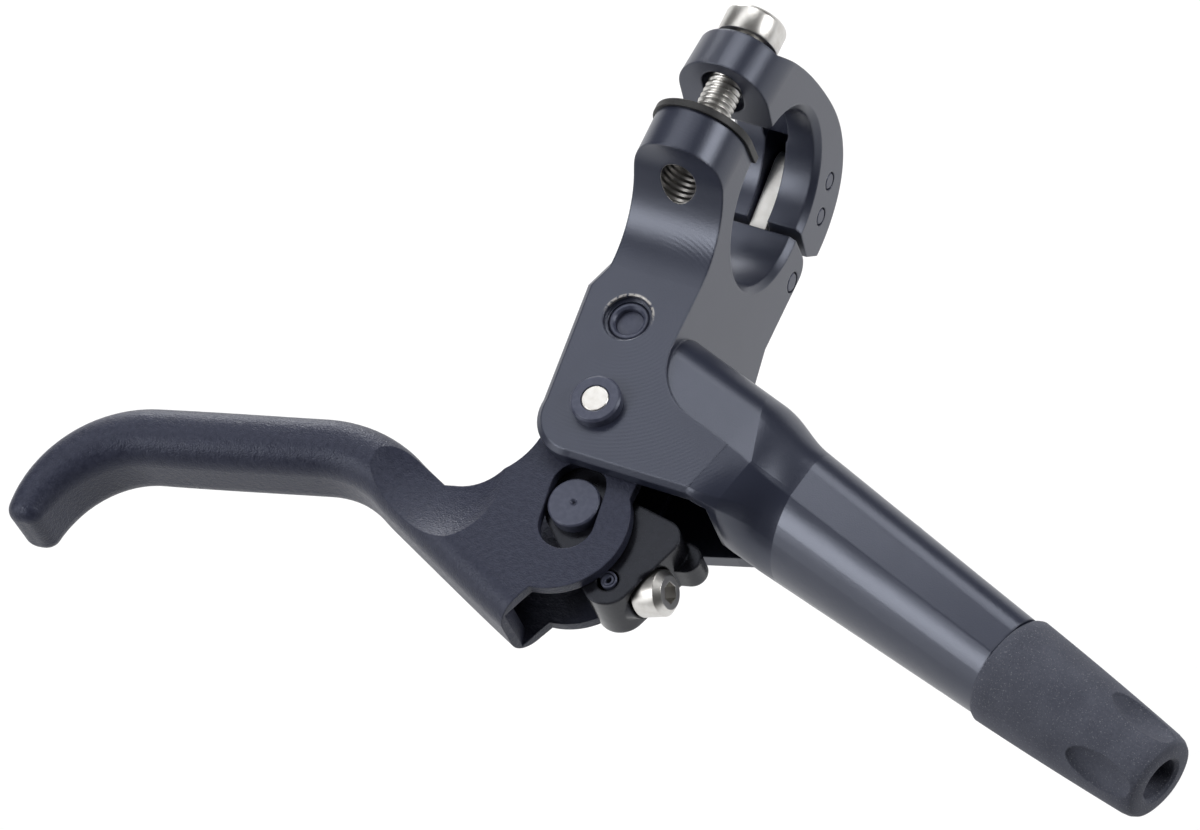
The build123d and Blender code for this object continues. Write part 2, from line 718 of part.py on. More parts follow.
piston_end = piston_start + piston_length
groove_starts = (piston_start + seal_inset, piston_end - seal_inset - seal_width)
with BuildPart() as piston:
    with BuildSketch(tube_plane(piston_start)):
        Circle(cylinder_bore / 2 - running_gap)
    extrude(amount=piston_length)
    for groove in groove_starts:
        with BuildSketch(tube_plane(groove)):
            Circle(cylinder_bore / 2)
            Circle(seal_groove_diameter / 2, mode=Mode.SUBTRACT)
        extrude(amount=seal_width, mode=Mode.SUBTRACT)
    with BuildSketch(tube_plane(groove_starts[0] + seal_width + 2.0)):
        Circle(cylinder_bore / 2)
        Circle(seal_groove_diameter / 2, mode=Mode.SUBTRACT)
    extrude(amount=groove_starts[1] - groove_starts[0] - seal_width - 4.0, mode=Mode.SUBTRACT)
    with BuildSketch(tube_plane(piston_start)):
        Circle(rod_diameter / 2 + running_gap)
    extrude(amount=rod_socket, mode=Mode.SUBTRACT)
piston.part.label = "piston"
export_step(piston.part, "parts/piston.step")

for seal_name, groove in zip(("secondary_seal", "primary_seal"), groove_starts):
    with BuildPart() as seal:
        with BuildSketch(tube_plane(groove)):
            Circle(cylinder_bore / 2 - running_gap / 2)
            Circle(seal_groove_diameter / 2, mode=Mode.SUBTRACT)
        extrude(amount=seal_width)
        with BuildSketch(tube_plane(groove + seal_width)):
            Circle(cylinder_bore / 2 - 0.5)
            Circle(seal_groove_diameter / 2 + 0.4, mode=Mode.SUBTRACT)
        extrude(amount=-seal_width / 2, mode=Mode.SUBTRACT)
    seal.part.label = seal_name
    export_step(seal.part, f"parts/{seal_name}.step")

spring_start = piston_end + spring_wire / 2
spring_height = bore_end - piston_end - spring_wire
with BuildPart() as piston_spring:
    with BuildLine() as coil:
        Helix(spring_height / spring_turns, spring_height, spring_coil / 2,
              center=tube_point(spring_start, 0), direction=tube_way)
    with BuildSketch(Plane(coil.line @ 0, z_dir=coil.line % 0)):
        Circle(spring_wire / 2)
    sweep()
piston_spring.part.label = "piston_spring"
export_step(piston_spring.part, "parts/piston_spring.step")

with BuildPart() as stop_washer:
    with BuildSketch(tube_plane(piston_start - washer_thickness - washer_gap)):
        Circle(cylinder_bore / 2 + washer_groove)
        Circle(washer_hole / 2, mode=Mode.SUBTRACT)
    extrude(amount=washer_thickness)
stop_washer.part.label = "stop_washer"
export_step(stop_washer.part, "parts/stop_washer.step")

# Clamp band, drawn closed and turned open about the hinge
hinge_point = Vector(0, hinge_y, hinge_z)
band_y = Vector(0, 1, 0).rotate(Axis.X, -band_opening)
band_z = Vector(0, 0, 1).rotate(Axis.X, -band_opening)


def opened(y, z):
    """A point of the closed band, after the band has swung open."""
    return hinge_point + band_y * (y - hinge_y) + band_z * (z - hinge_z)


band_plane = Plane(origin=opened(0, 0), x_dir=band_y, z_dir=(1, 0, 0))
band_face = lug_top + stopper_thickness + band_face_gap
band_top = band_face + band_lug_height
heel_face = jaw_end + band_face_gap
bolt_rise = bolt_height - hinge_z
swing = radians(band_opening)
bolt_over = (band_top - hinge_y + bolt_rise * sin(swing)) / cos(swing)
bolt_far = hinge_z + bolt_rise * cos(swing) + bolt_over * sin(swing)
slot_length = bolt_far - bolt_height
upper_pin = (upper_pin_y, upper_pin_z)
lower_pin = (lower_pin_y, lower_pin_z)
with BuildPart() as clamp_band:
    with BuildSketch(band_plane):
        with BuildLine():
            lug = Polyline((heel_face, 0), (band_face, 0), (band_face, lug_reach), (band_top, lug_reach),
                           (band_top, band_crest))
            outside = Spline(lug @ 1, (10.1, 14.5), (14.9, 3.0), (16.5, -7.3), (14.4, -13.4), (9.0, -17.8),
                             (4.7, -19.1))
            Polyline(outside @ 1, (heel_face, -16.5), (heel_face, 0))
        make_face()
        Circle(bar_radius, mode=Mode.SUBTRACT)
    extrude(amount=half_width, both=True)
    band_rims = clamp_band.edges().filter_by(GeomType.CIRCLE)
    band_rims = band_rims.filter_by(lambda edge: abs(edge.radius - bar_radius) < 0.01)
    chamfer(band_rims.filter_by(lambda edge: abs(edge.center().X) > half_width - 0.1), length=bar_chamfer)
    crown_edges = clamp_band.edges().filter_by(Axis((0, 0, 0), band_y)).group_by(Axis.Z)[-1]
    fillet(crown_edges, radius=half_width - 0.05)

    # Oval bolt hole and the seat that lets the bolt's head down to the lug
    for seat_y, radius, depth in (
        (band_face, bolt_thread / 2 + bolt_hole_gap, band_lug_height),
        (band_top, bolt_head_diameter / 2 + seat_gap, bar_radius),
    ):
        with BuildSketch(Plane(origin=opened(seat_y, bolt_height), x_dir=band_z, z_dir=band_y)):
            with Locations((slot_length / 2, 0)):
                SlotOverall(slot_length + 2 * radius, 2 * radius)
        extrude(amount=depth, mode=Mode.SUBTRACT)

    # Slot for the strap, open to the bar with a round run-out at its top, and the two pin holes
    with BuildSketch(band_plane):
        with BuildLine():
            Polyline((0, -20.0), (0, -7.0), (11.0, -3.0), (14.6, -5.5), (14.6, -9.5), (12.8, -14.2),
                     (10.6, -15.8), (9.0, -16.9), (9.0, -20.0), close=True)
        make_face()
    extrude(amount=strap_thickness / 2 + strap_gap, both=True, mode=Mode.SUBTRACT)
    with BuildSketch(Plane(origin=opened(bar_radius + runout_depth, 0), x_dir=band_z, z_dir=band_y)):
        SlotOverall(runout_length, runout_width)
    extrude(amount=-runout_width, mode=Mode.SUBTRACT)
    with BuildSketch(band_plane):
        with Locations(upper_pin, lower_pin):
            Circle(band_pin_diameter / 2)
    extrude(amount=half_width, both=True, mode=Mode.SUBTRACT)
clamp_band.part.label = "clamp_band"
export_step(clamp_band.part, "parts/clamp_band.step")

with BuildPart() as clamp_strap:
    with BuildSketch(band_plane):
        with Locations((hinge_y, hinge_z)):
            Circle(strap_radius)
        with Locations(upper_pin, lower_pin):
            Circle(band_pin_inset)
        make_hull()
        with Locations((hinge_y, hinge_z)):
            Circle(hinge_pin_diameter / 2 + running_gap, mode=Mode.SUBTRACT)
        with Locations(upper_pin, lower_pin):
            Circle(band_pin_diameter / 2, mode=Mode.SUBTRACT)
    extrude(amount=strap_thickness / 2, both=True)
clamp_strap.part.label = "clamp_strap"
export_step(clamp_strap.part, "parts/clamp_strap.step")

with BuildPart() as band_pins:
    with BuildSketch(band_plane):
        with Locations(upper_pin, lower_pin):
            Circle(band_pin_diameter / 2)
    extrude(amount=half_width, both=True)
    pin_ends = band_pins.edges().group_by(Axis.X)
    chamfer(pin_ends[0] + pin_ends[-1], length=pin_chamfer)
band_pins.part.label = "band_pins"
export_step(band_pins.part, "parts/band_pins.step")

with BuildPart() as hinge_pin:
    with BuildSketch(Plane.YZ):
        with Locations((hinge_y, hinge_z)):
            Circle(hinge_pin_diameter / 2)
    extrude(amount=half_width, both=True)
    pin_ends = hinge_pin.edges().group_by(Axis.X)
    chamfer(pin_ends[0] + pin_ends[-1], length=pin_chamfer)
hinge_pin.part.label = "hinge_pin"
export_step(hinge_pin.part, "parts/hinge_pin.step")

# Clamp bolt, screwed part of the way into the bracket's lug, and the thin stopper under the band
bolt_seat = opened(band_top, bolt_far).Y + bolt_head_diameter / 2 * sin(swing) + bolt_head_gap
with BuildPart() as clamp_bolt:
    with BuildSketch(Plane.XZ.offset(-bolt_seat)):
        with Locations((0, bolt_height)):
            Circle(bolt_head_diameter / 2)
    extrude(amount=-bolt_head_height)
    fillet(clamp_bolt.edges().group_by(Axis.Y)[-1], radius=0.8)
    with BuildSketch(Plane.XZ.offset(-bolt_seat)):
        with Locations((0, bolt_height)):
            Circle(bolt_thread / 2)
    extrude(amount=bolt_length)
    chamfer(clamp_bolt.edges().group_by(Axis.Y)[0], length=0.5)
    with BuildSketch(Plane.XZ.offset(-bolt_seat - bolt_head_height)):
        with Locations((0, bolt_height)):
            RegularPolygon(bolt_hexagon / 2, 6, major_radius=False)
    extrude(amount=bolt_socket, mode=Mode.SUBTRACT)
clamp_bolt.part.label = "clamp_bolt"
export_step(clamp_bolt.part, "parts/clamp_bolt.step")

stopper_half = half_width + stopper_overhang
with BuildPart() as clamp_stopper:
    with BuildSketch(Plane.XZ.offset(-lug_top)) as stopper_outline:
        with Locations((0, bar_radius + side_gap)):
            Rectangle(2 * stopper_half, lug_reach - bar_radius - side_gap + stopper_overhang,
                      align=(Align.CENTER, Align.MIN))
        fillet(stopper_outline.vertices().group_by(Axis.Y)[-1], radius=stopper_half - 0.05)
        with Locations((0, bolt_height)):
            Circle(bolt_thread / 2 + bolt_hole_gap, mode=Mode.SUBTRACT)
    extrude(amount=-stopper_thickness)
clamp_stopper.part.label = "clamp_stopper"
export_step(clamp_stopper.part, "parts/clamp_stopper.step")

# Hose nut in the port and the rubber boot over it
spigot_end = tube_end + spigot_length
nut_end = spigot_end + nut_height
boot_end = tube_end + boot_length
with BuildPart() as hose_nut:
    with BuildSketch(tube_plane(spigot_end)):
        RegularPolygon(nut_hexagon / 2, 6, major_radius=False)
    extrude(amount=nut_height)
    with BuildSketch(tube_plane(spigot_end)):
        Circle(port_diameter / 2)
    extrude(amount=-port_depth)
    with BuildSketch(tube_plane(nut_end)):
        Circle(nut_hole / 2)
    extrude(amount=-nut_height - port_depth, mode=Mode.SUBTRACT)
hose_nut.part.label = "hose_nut"
export_step(hose_nut.part, "parts/hose_nut.step")

room_radius = nut_hexagon / sqrt(3) + nut_room
with BuildPart() as hose_boot:
    with BuildSketch(tube_floor):
        with BuildLine():
            rim = Polyline((tube_end, spigot_diameter / 2), (tube_end, boot_diameter / 2 - boot_edge),
                           (tube_end + boot_edge, boot_diameter / 2))
            taper = Spline(rim @ 1, (tube_end + boot_waist * boot_length, boot_waist_diameter / 2),
                           (boot_end - boot_edge, boot_tip_diameter / 2))
            Polyline(taper @ 1, (boot_end, boot_tip_diameter / 2 - boot_edge), (boot_end, hose_hole / 2),
                     (nut_end + nut_room, hose_hole / 2), (nut_end + nut_room, room_radius),
                     (spigot_end, room_radius), (spigot_end, spigot_diameter / 2), rim @ 0)
        make_face()
    revolve(axis=Axis(tube_origin, tube_way))
    with Locations(tube_plane(dimple_place)):
        with PolarLocations(boot_waist_diameter / 2 + dimple_radius - dimple_depth, 4, dimple_turn):
            Sphere(dimple_radius, mode=Mode.SUBTRACT)
hose_boot.part.label = "hose_boot"
export_step(hose_boot.part, "parts/hose_boot.step")

# Reservoir: rubber diaphragm, cover, its two screws and the bleed screw
pocket_width = reservoir_width - 2 * pocket_wall
pocket_corner = reservoir_corner - pocket_wall
hat_shrink = diaphragm_thickness + side_gap
with BuildPart() as diaphragm:
    with BuildSketch(tube_floor.offset(-reservoir_depth)):
        with Locations((reservoir_middle, reservoir_offset)):
            RectangleRounded(reservoir_length, reservoir_width, reservoir_corner)
    extrude(amount=-diaphragm_thickness)
    for grow, start, amount, mode in (
        (side_gap, 0, diaphragm_height, Mode.ADD),
        (hat_shrink, -diaphragm_thickness, diaphragm_height, Mode.SUBTRACT),
    ):
        with BuildSketch(tube_floor.offset(start - reservoir_depth)):
            with Locations((reservoir_middle, reservoir_offset)):
                RectangleRounded(pocket_length - 2 * grow, pocket_width - 2 * grow, pocket_corner - grow)
        extrude(amount=amount, mode=mode)
    with BuildSketch(tube_floor.offset(-reservoir_depth)):
        with Locations(*cover_screw_places):
            Circle(cover_screw_diameter / 2)
    extrude(amount=-diaphragm_thickness, mode=Mode.SUBTRACT)
diaphragm.part.label = "reservoir_diaphragm"
export_step(diaphragm.part, "parts/reservoir_diaphragm.step")

cover_inside = -reservoir_depth - diaphragm_thickness
cover_outside = cover_inside - cover_thickness
with BuildPart() as reservoir_cover:
    with BuildSketch(tube_floor.offset(cover_inside)):
        with Locations((reservoir_middle, reservoir_offset)):
            RectangleRounded(reservoir_length, reservoir_width, reservoir_corner)
    extrude(amount=-cover_thickness)
    chamfer(reservoir_cover.edges().group_by(Axis.Z)[0], length=0.6)
    with BuildSketch(tube_floor.offset(cover_inside)):
        with Locations(*cover_screw_places):
            Circle(cover_screw_diameter / 2)
    extrude(amount=-cover_thickness, mode=Mode.SUBTRACT)
reservoir_cover.part.label = "reservoir_cover"
export_step(reservoir_cover.part, "parts/reservoir_cover.step")

with BuildPart() as cover_screws:
    with BuildSketch(tube_floor.offset(cover_outside)):
        with Locations(*cover_screw_places):
            Circle(cover_screw_head / 2)
    extrude(amount=-cover_screw_height)
    fillet(cover_screws.edges().group_by(Axis.Z)[0], radius=0.7)
    with BuildSketch(tube_floor.offset(cover_outside)):
        with Locations(*cover_screw_places):
            Circle(cover_screw_diameter / 2)
    extrude(amount=cover_thickness + diaphragm_thickness + cover_screw_depth)
    with BuildSketch(tube_floor.offset(cover_outside - cover_screw_height)):
        with Locations(*cover_screw_places):
            RegularPolygon(reach_hexagon / 2, 6, major_radius=False)
    extrude(amount=cover_screw_height, mode=Mode.SUBTRACT)
cover_screws.part.label = "cover_screws"
export_step(cover_screws.part, "parts/cover_screws.step")

seal_ring = bleed_head / 2 - bleed_diameter / 2
with BuildPart() as bleed_screw:
    with BuildSketch(bleed_plane.offset(seal_ring)):
        Circle(bleed_head / 2)
    extrude(amount=bleed_height)
    with BuildSketch(bleed_plane.offset(seal_ring)):
        Circle(bleed_diameter / 2)
    extrude(amount=-seal_ring - bleed_depth)
    with BuildSketch(bleed_plane.offset(seal_ring + bleed_height)):
        RegularPolygon(reach_hexagon / 2, 6, major_radius=False)
    extrude(amount=-bleed_height, mode=Mode.SUBTRACT)
bleed_screw.part.label = "bleed_screw"
export_step(bleed_screw.part, "parts/bleed_screw.step")

with BuildPart() as bleed_seal:
    with BuildSketch(bleed_plane):
        Circle(bleed_head / 2)
        Circle(bleed_diameter / 2, mode=Mode.SUBTRACT)
    extrude(amount=seal_ring)
bleed_seal.part.label = "bleed_seal"
export_step(bleed_seal.part, "parts/bleed_seal.step")
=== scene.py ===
# %% [markdown]
# # A bicycle brake lever, dressed in Blender
# The solids of the lever come from the CAD side as a fixed frame. Here they get
# their finishes, and the small parts that CAD leaves plain, such as screw threads
# and a rolled pin, are modelled by hand. Everything is in metres.

# %% Load the frame
import bmesh
import bpy
import json
import math
from mathutils import Matrix, Vector


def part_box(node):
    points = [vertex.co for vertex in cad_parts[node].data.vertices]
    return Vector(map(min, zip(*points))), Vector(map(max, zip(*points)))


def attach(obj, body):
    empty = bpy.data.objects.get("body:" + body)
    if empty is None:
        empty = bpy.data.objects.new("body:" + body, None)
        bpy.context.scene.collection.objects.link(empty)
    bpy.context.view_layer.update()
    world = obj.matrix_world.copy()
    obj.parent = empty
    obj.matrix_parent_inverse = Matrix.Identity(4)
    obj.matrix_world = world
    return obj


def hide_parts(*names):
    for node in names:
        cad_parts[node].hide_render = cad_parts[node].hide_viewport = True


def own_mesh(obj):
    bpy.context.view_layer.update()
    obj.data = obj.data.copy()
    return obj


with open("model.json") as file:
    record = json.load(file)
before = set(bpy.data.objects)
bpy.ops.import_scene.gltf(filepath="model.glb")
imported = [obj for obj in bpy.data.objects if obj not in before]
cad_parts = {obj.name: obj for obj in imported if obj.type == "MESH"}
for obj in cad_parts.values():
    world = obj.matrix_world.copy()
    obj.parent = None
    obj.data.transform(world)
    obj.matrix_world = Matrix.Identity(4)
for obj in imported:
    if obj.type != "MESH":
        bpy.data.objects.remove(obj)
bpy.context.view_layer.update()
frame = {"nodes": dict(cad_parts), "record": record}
MM = 0.001

# %% [markdown]
# ## A way to write shader maths
# A finish is a small sum: grain times strength, worn edge or not. Wiring Math nodes
# one by one hides that sum. So one class wraps a socket: plain operators on it add
# Math nodes, and one method adds any other node.

# %% A socket that can be added and multiplied
class Tone:
    def __init__(self, tree, socket=None):
        self.tree = tree
        self.socket = socket

    def node(self, kind, settings=None, inputs=None, out=0):
        """Adds a node: its settings first, then the values or links of its sockets."""
        new = self.tree.nodes.new(kind)
        for name, value in (settings or {}).items():
            setattr(new, name, value)
        for name, value in (inputs or {}).items():
            if isinstance(value, Tone):
                self.tree.links.new(value.socket, new.inputs[name])
            else:
                new.inputs[name].default_value = value
        return Tone(self.tree, new.outputs[out] if new.outputs else None)

    def math(self, operation, first, second=0.0, clamp=False):
        settings = {"operation": operation, "use_clamp": clamp}
        return self.node("ShaderNodeMath", settings, {0: first, 1: second})

    def __add__(self, other): return self.math("ADD", self, other)
    def __radd__(self, other): return self.math("ADD", other, self)
    def __sub__(self, other): return self.math("SUBTRACT", self, other)
    def __rsub__(self, other): return self.math("SUBTRACT", other, self)
    def __mul__(self, other): return self.math("MULTIPLY", self, other)
    def __rmul__(self, other): return self.math("MULTIPLY", other, self)
    def __truediv__(self, other): return self.math("DIVIDE", self, other)
    def __rtruediv__(self, other): return self.math("DIVIDE", other, self)

    def vector(self, operation, first, second, out=0):
        settings = {"operation": operation}
        return self.node("ShaderNodeVectorMath", settings, {0: first, 1: second}, out)

    def part(self, axis):
        """One coordinate of a vector; axis is 'X', 'Y' or 'Z'."""
        return self.node("ShaderNodeSeparateXYZ", {}, {0: self}, out=axis)

    def step(self, low, high):
        """0 below low, 1 above high, and smooth between them."""
        settings = {"interpolation_type": "SMOOTHSTEP"}
        inputs = {"Value": self, "From Min": low, "From Max": high}
        return self.node("ShaderNodeMapRange", settings, inputs)

    def blend(self, first, second):
        """A colour between two others, with this value as the share of the second."""
        inputs = {0: self, 6: first, 7: second}
        return self.node("ShaderNodeMix", {"data_type": "RGBA"}, inputs, out=2)

    def noise(self, where, scale, detail=2.0):
        """Noise with this many cells to the metre."""
        inputs = {"Vector": where, "Scale": scale, "Detail": detail}
        return self.node("ShaderNodeTexNoise", {}, inputs)


def new_material(name):
    """An empty material and a Tone to start from."""
    material = bpy.data.materials.new(name)
    material.use_nodes = True
    material.node_tree.nodes.clear()
    return material, Tone(material.node_tree)


def new_finish(name):
    """An empty material, a Tone to start from, and the object's coordinates."""
    finish, start = new_material(name)
    return finish, start, start.node("ShaderNodeTexCoord", out="Object")


# Black finishes reflect a little more blue than red.
SHEEN = (0.80, 0.85, 1.0, 1)


def surface(start, inputs):
    """The shader and the material's output; inputs are the shader's sockets."""
    shader = start.node("ShaderNodeBsdfPrincipled", {}, inputs)
    start.node("ShaderNodeOutputMaterial", {}, {"Surface": shader})


print("shader helpers ready")

# %% [markdown]
# ## Soft edges for every finish
# No edge of a coated part is perfectly sharp. The radius is too small to model
# everywhere, so the Bevel node turns the shading round at each edge, and a Bump
# node lays the grain of the finish over it.

# %% Grain over a rounded edge
def relief(start, height, depth, edge):
    """A normal: edges rounded, then the grain's height; depth and edge are in millimetres."""
    rounded = start.node("ShaderNodeBevel", {"samples": 4}, {"Radius": edge * MM})
    inputs = {"Height": height, "Distance": depth * MM, "Normal": rounded}
    return start.node("ShaderNodeBump", {}, inputs)


print("relief ready")

# %% [markdown]
# ## Black anodised alloy
# The housing and the clamp band are forged, blasted and anodised: a dark slate
# that is satin, with a very fine grain. The tapped hole of the clamp bolt is cut
# afterwards, so its wall is bare metal with a thread. The rim of the upper axle
# hole is chipped to bare metal, and the chips are kept to the side of the rim where
# the light falls, so they also paint a highlight there. Where the bracket runs into
# the tube the surface slopes, and a bump shades that slope. The places are found
# from the object's coordinates.

# %% Places on the housing
SLATE, PALE_SLATE = (0.0195, 0.0225, 0.039, 1), (0.0245, 0.028, 0.0465, 1)
BARE_ALLOY_AND_HIGHLIGHT, BARE_ROUGH = (0.36, 0.35, 0.34, 1), 0.36
FINE_GRAIN, CLOUDS, CHIPS = 5200.0, 90.0, 1500.0
GRAIN_DEPTH = 0.010 * MM
BOLT_AXIS = Vector((0.0, 0.0, 15.3)) * MM
LEVER_AXIS = Vector((-1.0, -25.0, 0.0)) * MM
THREAD_PITCH, THREAD_DEPTH = 0.8 * MM, 14.0
HOLE_WALL, HOLE_RIM = 2.56 * MM, 2.62 * MM
TUBE_START = Vector((2.5646, -31.9972, 0.0)) * MM
TUBE_WAY = Vector((0.948876, -0.315649, 0.0))
TUBE_SIDE = Vector((0.315649, 0.948876, 0.0))
RAMP_START, RAMP_END = 21.8 * MM, 29.0 * MM
RAMP_SLANT, RAMP_DEPTH = 0.7, 2.8 * MM
RAMP_STRAIGHT = 0.6
PLATE_LOW, PLATE_TOP = 8.3 * MM, 8.5 * MM
RIM_INNER, RIM_OUTER = (3.1 * MM, 3.2 * MM), (3.45 * MM, 3.7 * MM)
# The side of the axle rim that the light falls on; the bare chips kept there also paint a
# highlight.
LIT_RIM_SIDE = (-0.4 * MM, 1.6 * MM)
MILLING_STEP, MILLING_DEPTH = 0.55 * MM, 0.2


def radius_about(start, moved, axis):
    """Distance from the axis through 0; axis is 'X', 'Y' or 'Z'."""
    keep = tuple(0.0 if name == axis else 1.0 for name in "XYZ")
    flat = start.vector("MULTIPLY", moved, keep)
    return start.node("ShaderNodeVectorMath", {"operation": "LENGTH"}, {0: flat}, out="Value")


def tube_ramp(start, where):
    """0 on the bracket and 1 on the tube, with a slanting slope between them."""
    away = start.vector("SUBTRACT", where, TUBE_START)
    along = start.vector("DOT_PRODUCT", away, TUBE_WAY, out="Value")
    aside = start.vector("DOT_PRODUCT", away, TUBE_SIDE, out="Value")
    begin = RAMP_START - start.math("MAXIMUM", aside, 0.0) * RAMP_SLANT
    end = RAMP_END - aside * RAMP_SLANT / 4
    ramp = start.math("DIVIDE", along - begin, end - begin, clamp=True)
    return ramp * RAMP_STRAIGHT + ramp.step(0.0, 1.0) * (1.0 - RAMP_STRAIGHT)


def tapped_hole(start, where):
    """Where the wall of the bolt's hole is, and the height of its thread."""
    moved = start.vector("SUBTRACT", where, BOLT_AXIS)
    wall = 1.0 - radius_about(start, moved, "Y").step(HOLE_WALL, HOLE_RIM)
    turn = start.math("ARCTAN2", moved.part("Z"), moved.part("X")) / math.tau
    phase = start.math("FRACT", moved.part("Y") / THREAD_PITCH + turn)
    return wall, start.math("ABSOLUTE", phase - 0.5) * 2.0


def axle_rim(start, where):
    """Bare chips on the rim of the axle's hole, kept to its lit side as a painted highlight, and
    the milling arcs of the plate around it.
    """
    ring = start.vector("SUBTRACT", where, LEVER_AXIS)
    radius = radius_about(start, ring, "Z")
    on_plate = ring.part("Z").step(PLATE_LOW, PLATE_TOP)
    rim = radius.step(*RIM_INNER) * (1.0 - radius.step(*RIM_OUTER))
    chips = start.noise(where, CHIPS, 4.0).step(0.38, 0.5)
    # Bare chips, kept to the lit side of the rim: partly wear, partly a painted highlight.
    rim_chips_and_highlight = rim * on_plate * ring.part("Y").step(*LIT_RIM_SIDE) * chips
    return rim_chips_and_highlight, start.math("SINE", radius * (math.tau / MILLING_STEP)) * on_plate


print("places on the housing ready")

# %% [markdown]
# The band takes the plain finish, and the housing also gets the places above. A
# painted texture could hold them too, but it would need unwrapping; a sum of
# coordinates stays sharp at any distance.

# %% The two anodised finishes
def anodised(name, tapped):
    """The satin slate; with tapped, also the housing's ramp, thread, and rim chips with their
    painted highlight.
    """
    finish, start, where = new_finish(name)
    grain = start.noise(where, FINE_GRAIN, 3.0)
    cloud = start.noise(where, CLOUDS, 3.0)
    colour = cloud.step(0.3, 0.7).blend(SLATE, PALE_SLATE)
    rough, height, metal = 0.27 + grain * 0.09, grain, 0.0
    if tapped:
        wall, ridge = tapped_hole(start, where)
        rim_chips_and_highlight, arcs = axle_rim(start, where)
        # Bare metal: the tapped wall, and the rim's chips with their painted highlight.
        bare_metal_and_highlight = metal = start.math("MAXIMUM", wall, rim_chips_and_highlight)
        colour = bare_metal_and_highlight.blend(colour, BARE_ALLOY_AND_HIGHLIGHT)
        rough = rough * (1.0 - bare_metal_and_highlight) + bare_metal_and_highlight * BARE_ROUGH
        height = height - tube_ramp(start, where) * RAMP_DEPTH / GRAIN_DEPTH
        height = height + arcs * cloud.step(0.42, 0.62) * MILLING_DEPTH
        height = height * (1.0 - wall) + ridge * wall * THREAD_DEPTH
    surface(start, {
        "Base Color": colour, "Roughness": rough, "Metallic": metal,
        "Normal": relief(start, height, GRAIN_DEPTH / MM, 0.4),
        "Specular IOR Level": 0.8, "Specular Tint": SHEEN,
    })
    return finish


body_finish = anodised("anodised_housing", True)
band_finish = anodised("anodised_band", False)
print("anodised finishes:", body_finish.name, band_finish.name)

# %% [markdown]
# ## Powder coat of the lever
# Fingers rest on the blade, so it is coated with a fine black powder that melts
# into tiny bumps. They sparkle under the lamp. Two noises of different size give
# the bumps, and the larger one also breaks up the gloss.

# %% Powder coat
COAT, PALE_COAT = (0.0235, 0.0258, 0.044, 1), (0.034, 0.037, 0.060, 1)


def powder_coat():
    finish, start, where = new_finish("powder_coat")
    fine = start.noise(where, 4200.0, 2.0)
    coarse = start.noise(where, 1500.0, 2.0)
    colour = coarse.step(0.25, 0.75).blend(COAT, PALE_COAT)
    rough = 0.30 + coarse * 0.24
    surface(start, {
        "Base Color": colour, "Roughness": rough, "Specular IOR Level": 0.34,
        "Specular Tint": SHEEN,
        "Normal": relief(start, fine * 0.7 + coarse * 0.6, 0.11, 0.3),
    })
    return finish


lever_finish = powder_coat()
print("lever finish:", lever_finish.name)

# %% [markdown]
# ## Steel, bright and blackened
# The clamp bolt, the reach screw and the link's axle are bare stainless steel.
# Turned parts keep fine rings and some handling marks, so the roughness follows a
# stretched noise. The strap is polished, and its near-white colour is painted sheen
# that lifts it out of the clamp's shade. The pins are the same steel, blackened, and
# the link is a smooth black that shows every lamp. One function with many switches
# could make all four, but four short ones are easier to read.

# %% Steel finishes
STEEL, DULL_STEEL = (0.66, 0.65, 0.63, 1), (0.58, 0.565, 0.54, 1)
# The strap's colours are near white: painted sheen that lifts it out of the clamp's shade.
POLISH_SHEEN, DULL_POLISH_SHEEN = (0.93, 0.92, 0.90, 1), (0.84, 0.83, 0.80, 1)
BLACKED, PALE_BLACKED = (0.046, 0.050, 0.078, 1), (0.068, 0.074, 0.108, 1)
JET, PALE_JET = (0.006, 0.006, 0.008, 1), (0.011, 0.0115, 0.015, 1)
TURNED_RINGS = (400.0, 6000.0, 400.0)


def bright_steel():
    finish, start, where = new_finish("bright_steel")
    marks = start.noise(where, 900.0, 4.0)
    stretched = start.node("ShaderNodeMapping", {}, {"Vector": where, "Scale": TURNED_RINGS})
    scratches = start.noise(stretched, 1.0)
    colour = marks.step(0.35, 0.7).blend(STEEL, DULL_STEEL)
    surface(start, {
        "Base Color": colour, "Metallic": 1.0,
        "Roughness": 0.27 + marks * 0.05 + scratches * 0.08,
        "Normal": relief(start, scratches + marks * 0.2, 0.0015, 0.15),
    })
    return finish


def strap_painted_sheen():
    finish, start, where = new_finish("strap_painted_sheen")
    marks = start.noise(where, 600.0, 3.0)
    # Painted sheen: a near-white colour, partly diffuse, makes the strap read as lit inside the
    # clamp.
    colour = marks.step(0.3, 0.7).blend(POLISH_SHEEN, DULL_POLISH_SHEEN)
    surface(start, {
        "Base Color": colour, "Metallic": 0.6, "Roughness": 0.34 + marks * 0.08,
        "Normal": relief(start, marks, 0.002, 0.2),
    })
    return finish


def black_steel():
    finish, start, where = new_finish("black_steel")
    marks = start.noise(where, 1400.0, 4.0)
    colour = marks.step(0.3, 0.75).blend(BLACKED, PALE_BLACKED)
    surface(start, {
        "Base Color": colour, "Roughness": 0.24 + marks * 0.2, "Specular Tint": SHEEN,
        "Normal": relief(start, marks, 0.008, 0.2),
    })
    return finish


def link_black():
    finish, start, where = new_finish("link_black")
    marks = start.noise(where, 700.0, 4.0)
    colour = marks.step(0.3, 0.75).blend(JET, PALE_JET)
    surface(start, {
        "Base Color": colour, "Roughness": 0.17 + marks * 0.12, "Specular IOR Level": 0.33,
        "Normal": relief(start, marks, 0.02, 0.45), "Specular Tint": SHEEN,
    })
    return finish


steel_finish = bright_steel()
strap_sheen_finish = strap_painted_sheen()
dark_finish = black_steel()
link_finish = link_black()
steels = (steel_finish, strap_sheen_finish, dark_finish, link_finish)
print("steel finishes:", [finish.name for finish in steels])

